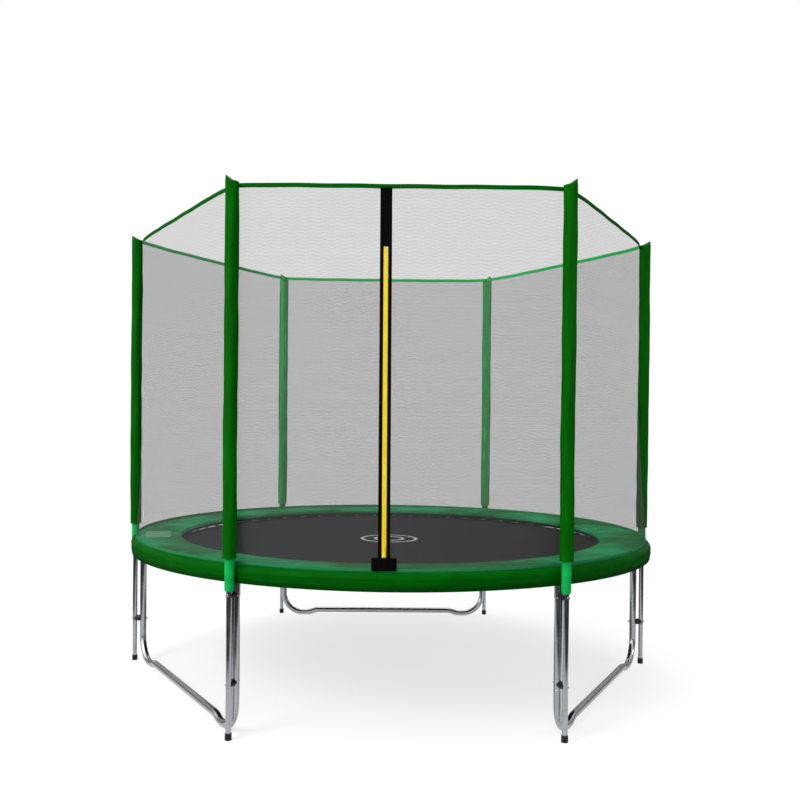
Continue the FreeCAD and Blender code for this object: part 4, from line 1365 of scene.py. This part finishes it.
@dataclass
class JumpBed:
    """The mat with its edge band, wire rings and springs."""

    layout: Layout
    count: int = 60
    coil_radius: float = 0.0094
    wire: float = 0.0016
    turns: int = 36
    coil: Pair = (1.328, 1.468)
    group: int = 3
    stitch_rows: tuple[float, ...] = (0.006, 0.024, 0.043)

    def build(self) -> None:
        """Makes the mat and its band, then the springs in small groups."""
        mat = make_piece("jumping_cloth", [self.cloth()], [MAT], Body.MAT)
        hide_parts("jumping_mat")
        band = make_piece("mat_edge_webbing", [self.edge()], [MAT_TAPE], Body.MAT)
        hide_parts("mat_edge_band")
        dress_node("mat_rings", WIRE)
        self.springs()

    def cloth(self) -> Grid:
        """A thin disc whose edge is drawn out a little at each ring.

        Height rises and falls by up to a millimetre round the edge, where the pull of the rings
        comes in, and fades to nothing towards the middle.
        """
        low, high = self.layout.mat
        r = np.concatenate([[0.0], np.linspace(0.03, 1.0, 46), [1.0]]) * self.layout.mat_radius
        angles = TURN * np.arange(480) / 480
        pull = np.cos(self.count * (angles - math.radians(3.0)))[:, None]
        ripple = 0.0008 * pull * smoothstep(r, 1.02, 1.24)[None]
        drawn = r[None] + 0.0018 * (pull - 1) * smoothstep(r, 1.22, 1.27)[None]
        top = np.stack([drawn, high - 0.0001 + ripple], -1)
        under = np.stack([drawn, low + 0.0001 + ripple], -1)
        profile = np.concatenate([under, top[:, ::-1]], 1)
        return turned(profile, angles)

    def edge(self) -> Grid:
        """The sewn band round the mat, with a groove where each row of stitches pulls it down."""
        low, high = self.layout.mat[1], self.layout.band_top
        rim = self.layout.mat_radius
        r = np.linspace(rim - 0.049, rim - 0.001, 28)
        stitched = sum(np.exp(-(((r - (rim - inset)) / 0.0016) ** 2)) for inset in self.stitch_rows)
        top = np.stack([r, high - 0.0007 * stitched], 1)
        bottom = np.stack([r[::-1][[0, -1]], np.full(2, low + 0.0009)], 1)
        return turned(np.concatenate([top, bottom]), TURN * np.arange(360) / 360)

    def springs(self) -> None:
        """Sixty coil springs in groups that stretch between the mat and the rail.

        Along the axis a coil point is at start + length * t, and round it at cos and sin of the
        turn's angle. Hooks are smooth lines through a few points, one over the ring and one into
        the rail.
        """
        axis = self.layout.rail_height
        start, end = self.coil
        t = np.linspace(0, 1, self.turns * 10 + 1)
        turn = TURN * self.turns * t
        coil_radius = self.coil_radius * (1 - 0.45 * np.exp(-t / 0.012) - 0.45 * np.exp(-(1 - t) / 0.012))
        x = start + (end - start) * t
        coil = np.stack([x, coil_radius * np.cos(turn), axis + coil_radius * np.sin(turn)], 1)
        spring = carried(coil, (1, 0, 0), circle(self.wire, 5))
        ring_hole, rail_hole = 1.3015, self.layout.rail_radius - 0.010
        inner = smooth_line(
            [
                (start + 0.003, 0, axis + 0.004),
                (start - 0.006, 0, axis + 0.0055),
                (ring_hole + 0.006, 0, axis + 0.0045),
                (ring_hole, 0, axis - 0.001),
                (ring_hole + 0.0015, 0, axis - 0.009),
            ]
        )
        outer = smooth_line(
            [
                (end - 0.002, 0, axis + 0.004),
                (end + 0.005, 0, axis + 0.016),
                (rail_hole - 0.010, 0, axis + 0.0222),
                (rail_hole - 0.001, 0, axis + 0.0205),
                (rail_hole + 0.0005, 0, axis + 0.008),
            ]
        )
        hooks = [carried(line, (0, 1, 0), circle(self.wire, 6)) for line in (inner, outer)]
        step = 360.0 / self.count
        for first in range(0, self.count, self.group):
            angles = [step * (first + k + 0.5) for k in range(self.group)]
            name = f"springs_{first // self.group + 1:02d}"
            grids = [spun_grid(grid, angles) for grid in (spring, *hooks)]
            piece = make_piece(name, grids, [WIRE], None)
            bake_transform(piece)
            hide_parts("springs")


# ----------------------------------------------------------------------------- padded cover


@dataclass
class PadCover:
    """The padded cover over the springs, with its skirt, seams and blank patch."""

    layout: Layout
    inner: float = 1.247
    under: float = 0.7855
    lip: float = 0.7680
    inner_top: float = 0.8050
    crest: float = 1.4955
    wall: float = 0.0042
    first_seam: float = 9.5
    angles: np.ndarray = field(default_factory=lambda: np.zeros(0))

    def build(self) -> None:
        """Makes the cover and its patch."""
        steps = TURN * np.arange(540) / 540
        seams = np.radians(self.first_seam + 60.0 * np.arange(6))
        close = np.radians(np.array([-0.30, -0.20, -0.13, -0.07, 0.0, 0.07, 0.13, 0.20, 0.30]))
        near = (seams[:, None] + close[None]).ravel()
        gap = np.abs((steps[:, None] - seams[None] + math.pi) % TURN - math.pi).min(1)
        self.angles = np.sort(np.concatenate([steps[gap > math.radians(0.4)], near]))
        shell = turned(self.profile(), self.angles)
        cover = make_piece("padded_cover", [shell], [PAD], Body.FRAME, sharp=50.0)
        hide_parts("edge_pad")
        make_piece("blank_patch", [self.patch()], [PATCH], Body.FRAME)

    @property
    def crest_height(self) -> float:
        """Height of the cover where the net's hem stands on it."""
        return self.layout.pad[1] + 0.0014

    def seam(self, angles: np.ndarray) -> np.ndarray:
        """How near each angle is to a radial seam: 1 on it, fading over a few millimetres."""
        away = (np.degrees(angles) - self.first_seam + 30.0) % 60.0 - 30.0
        return np.exp(-((away / 0.10) ** 2))

    def top(self, r: np.ndarray, angles: np.ndarray) -> np.ndarray:
        """Height of the cover's upper face.

        It rises from the opening to the crest over the rail, crowned between them, with slow dents
        that are a sum of sines round the ring, and a pinch at each seam.

        Args:
            r: Distances from the middle.
            angles: The azimuths there, in radians.

        Returns:
            The heights.
        """
        share = np.clip((r - self.inner) / (self.crest - self.inner), 0, 1)
        z = self.inner_top + share * (self.crest_height - self.inner_top) + 0.0050 * np.sin(math.pi * share)
        dents = 0.0022 * np.sin(11 * angles + 1.3) * np.sin(2.2 * share + 5 * angles)
        dents = dents + 0.0011 * np.sin(30 * angles + 4 * share) + 0.0007 * np.sin(67 * angles - 9 * share)
        pinch = 0.0030 * np.exp(-((((np.degrees(angles) - self.first_seam + 30) % 60 - 30) / 0.9) ** 2))
        piping = 0.0036 * self.seam(angles)
        return z + (dents - pinch + piping) * np.sin(math.pi * np.clip(share, 0.0, 1.0)) ** 0.5

    def profile(self) -> np.ndarray:
        """The closed section of the cover at every angle, as (radius, height).

        The section runs round the rolled inner edge, over the crowned top, round the shoulder, down
        the skirt, whose creases run lengthwise, round its hem and back underneath.
        """
        a = self.angles[:, None]
        one = np.ones_like(a)
        low, top = self.layout.pad
        edge = (self.lip + self.inner_top) / 2
        roll = np.linspace(-TURN / 4, TURN / 4, 13)[None]
        depth = (self.inner_top - self.lip) / 2
        rolled = self.inner + 0.007 * (1 - np.cos(roll))
        inner = np.stack([rolled * one, (edge + depth * np.sin(roll)) * one], -1)
        r = np.linspace(self.inner + 0.012, self.crest, 26)[None] * one
        crown = np.stack([r, self.top(r, a * np.ones_like(r))], -1)
        bend = np.linspace(0.0, TURN / 4, 12)[1:][None]
        side, drop, high = self.layout.pad_radius - self.crest - 0.001, 0.034, self.crest_height
        out = self.crest + side * np.sin(bend)
        shoulder = np.stack([out * one, (high - drop + drop * np.cos(bend)) * one], -1)
        z = np.linspace(high - drop - 0.003, low + 0.002, 14)[None] * one
        down = (high - drop - z) / (high - drop - low)
        crease = 0.0016 * np.sin(z * 190.0 + 2.6 * np.sin(7 * a) + 1.3 * np.sin(13 * a + 2))
        crease = crease * (0.4 + 0.6 * np.sin(9 * a + 1) ** 2) + 0.0009 * np.sin(41 * a) * down
        crease = crease * np.sin(math.pi * np.clip(down, 0, 1))
        fall = self.layout.pad_radius - 0.0022 + crease - 0.0035 * down**2
        pinch = 0.0012 * self.seam(a)
        skirt = np.stack([fall + pinch, z], -1)
        lip = np.linspace(0, TURN / 2, 7)[1:-1][None]
        hem = np.stack(
            [
                fall[:, -1:] - self.wall / 2 + self.wall / 2 * np.cos(lip),
                z[:, -1:] - self.wall / 2 * np.sin(lip),
            ],
            -1,
        )
        inside = np.stack([fall[:, ::-1][:, ::3] - self.wall, z[:, ::-1][:, ::3]], -1)
        step = top - 0.020
        under = np.array(
            [
                [self.layout.pad_radius - self.wall - 0.010, step],
                [1.49, step],
                [1.467, step],
                [1.461, self.under],
                [1.40, self.under],
                [1.315, self.under],
                [1.297, self.under - 0.001],
                [1.284, self.lip + 0.001],
                [1.27, self.lip],
            ]
        )
        under = np.broadcast_to(under, (len(a), *under.shape))
        return np.concatenate([inner, crown, shoulder, skirt, hem, inside, under], 1)

    def patch(self) -> Grid:
        """A thin blank patch lying on the cover beside one seam."""
        degrees = np.linspace(186.5, 198.0, 30)
        r = np.linspace(1.312, 1.452, 10)[None]
        slant = np.radians(degrees)[:, None] + (r - 1.40) * 0.10
        z = self.top(r + 0 * slant, slant) + 0.0006
        sheet = np.stack([r * np.cos(slant), r * np.sin(slant), z], -1)
        back = sheet - np.array([0, 0, 0.0010])
        points = np.concatenate([sheet, back[:, ::-1]], 1)
        first, last = (0.5 * (points[end] + points[end][::-1])[None] for end in (0, -1))
        points = np.concatenate([first, points, last])
        along = np.concatenate([[0], np.radians(degrees - degrees[0]), [math.radians(7.0)]]) * 1.4
        across = np.concatenate([r[0], r[0][::-1], r[0][:1]]) - 1.3
        return Grid(points, np.stack(np.meshgrid(along, across, indexing="ij"), -1))


# ----------------------------------------------------------------------------- studio


@dataclass(frozen=True)
class Studio:
    """Pale floor, soft light and the camera."""

    lens: float = 39.526
    heading: float = 0.392
    tilt: float = -0.585
    roll: float = 0.509
    shift: Pair = (0.040, 0.0377)
    stand: tuple[float, float, float] = (-0.1725, -5.3926, 1.4771)

    def build(self) -> None:
        """Sets the floor, the light and the camera."""
        self.floor()
        self.light()
        self.camera()

    def floor(self) -> None:
        """A wide flat floor."""
        r = np.array([0.0, 4.0, 12.0, 60.0])[:, None]
        a = (TURN * np.arange(64) / 64)[None]
        points = np.stack([r * np.cos(a), r * np.sin(a), 0 * r * a - 0.0005], -1)
        cloth = np.zeros((4, 65, 2))
        floor = make_piece("floor", [Grid(points, cloth)], [FLOOR], None)

    def light(self) -> None:
        """A sky that is bright above and to the left, a soft key, a weak fill and a light above.

        The background that is seen directly is plain white.
        """
        world = bpy.data.worlds.new("soft studio")
        bpy.context.scene.world = world
        world.use_nodes = True
        tree = world.node_tree
        sky = tree.nodes["Background"]
        way = tree.nodes.new("ShaderNodeTexCoord")
        split = tree.nodes.new("ShaderNodeSeparateXYZ")
        ramp = tree.nodes.new("ShaderNodeMapRange")
        for name, value in (("From Min", 0.0), ("From Max", 0.8), ("To Min", 0.12), ("To Max", 0.8)):
            ramp.inputs[name].default_value = value
        glow = tree.nodes.new("ShaderNodeVectorMath")
        glow.operation = "DOT_PRODUCT"
        glow.inputs[1].default_value = (-0.75, -0.60, 0.28)
        wide = tree.nodes.new("ShaderNodeMapRange")
        wide.interpolation_type = "SMOOTHSTEP"
        for name, value in (("From Min", 0.35), ("From Max", 0.95), ("To Min", 0.0), ("To Max", 1.5)):
            wide.inputs[name].default_value = value
        both = tree.nodes.new("ShaderNodeMath")
        plain = tree.nodes.new("ShaderNodeBackground")
        plain.inputs["Color"].default_value = (1.0, 1.0, 1.0, 1.0)
        plain.inputs["Strength"].default_value = 1.0
        seen = tree.nodes.new("ShaderNodeLightPath")
        mix = tree.nodes.new("ShaderNodeMixShader")
        tree.links.new(way.outputs["Generated"], split.inputs[0])
        tree.links.new(split.outputs[2], ramp.inputs["Value"])
        tree.links.new(way.outputs["Generated"], glow.inputs[0])
        tree.links.new(glow.outputs["Value"], wide.inputs["Value"])
        tree.links.new(ramp.outputs["Result"], both.inputs[0])
        tree.links.new(wide.outputs["Result"], both.inputs[1])
        tree.links.new(both.outputs[0], sky.inputs["Strength"])
        sky.inputs["Color"].default_value = (1.0, 1.0, 1.0, 1.0)
        tree.links.new(seen.outputs["Is Camera Ray"], mix.inputs[0])
        tree.links.new(sky.outputs[0], mix.inputs[1])
        tree.links.new(plain.outputs[0], mix.inputs[2])
        tree.links.new(mix.outputs[0], tree.nodes["World Output"].inputs["Surface"])
        self.lamp("key", (-5.5, -6.0, 6.0), 3.0, 330.0)
        self.lamp("fill", (7.0, -2.5, 3.0), 2.0, 70.0)
        self.lamp("top", (0.5, 2.5, 8.0), 5.0, 170.0)
        settings = bpy.context.scene.view_settings
        settings.view_transform = "Standard"
        settings.look = "None"

    def lamp(self, name: str, place: tuple[float, float, float], size: float, power: float) -> None:
        """A square soft light that faces the middle of the trampoline.

        Args:
            name: Its name.
            place: Where it stands.
            size: Length of its side.
            power: Its power, in watts.
        """
        data = bpy.data.lights.new(name, "AREA")
        data.size, data.energy = size, power
        lamp = bpy.data.objects.new(name, data)
        lamp.location = place
        lamp.rotation_euler = (Vector((0, 0, 1.0)) - Vector(place)).to_track_quat("-Z", "Y").to_euler()
        bpy.context.scene.collection.objects.link(lamp)

    def camera(self) -> None:
        """A camera that stands in front, a little left of the middle."""
        data = bpy.data.cameras.new("camera")
        data.lens, data.sensor_width = self.lens, 36.0
        data.clip_start, data.clip_end = 0.1, 200.0
        data.shift_x, data.shift_y = self.shift
        camera = bpy.data.objects.new("camera", data)
        turn = Matrix.Rotation(math.radians(-self.heading), 4, "Z")
        tilt = Matrix.Rotation(math.radians(90.0 + self.tilt), 4, "X")
        roll = Matrix.Rotation(math.radians(self.roll), 4, "Z")
        camera.matrix_world = Matrix.Translation(self.stand) @ turn @ tilt @ roll
        bpy.context.scene.collection.objects.link(camera)
        bpy.context.scene.camera = camera


def main() -> None:
    """Builds the studio and every sub-assembly, and logs each one as it is built."""
    logging.basicConfig(level=logging.INFO, format="%(name)s: %(message)s")
    Studio().build()
    layout = Layout.measure()
    for kind in (SteelFrame, PoleCovers, SafetyNet, Door, JumpBed, PadCover):
        kind(layout).build()
        LOG.info("%s is built", kind.__name__)


if __name__ == "__main__":
    main()
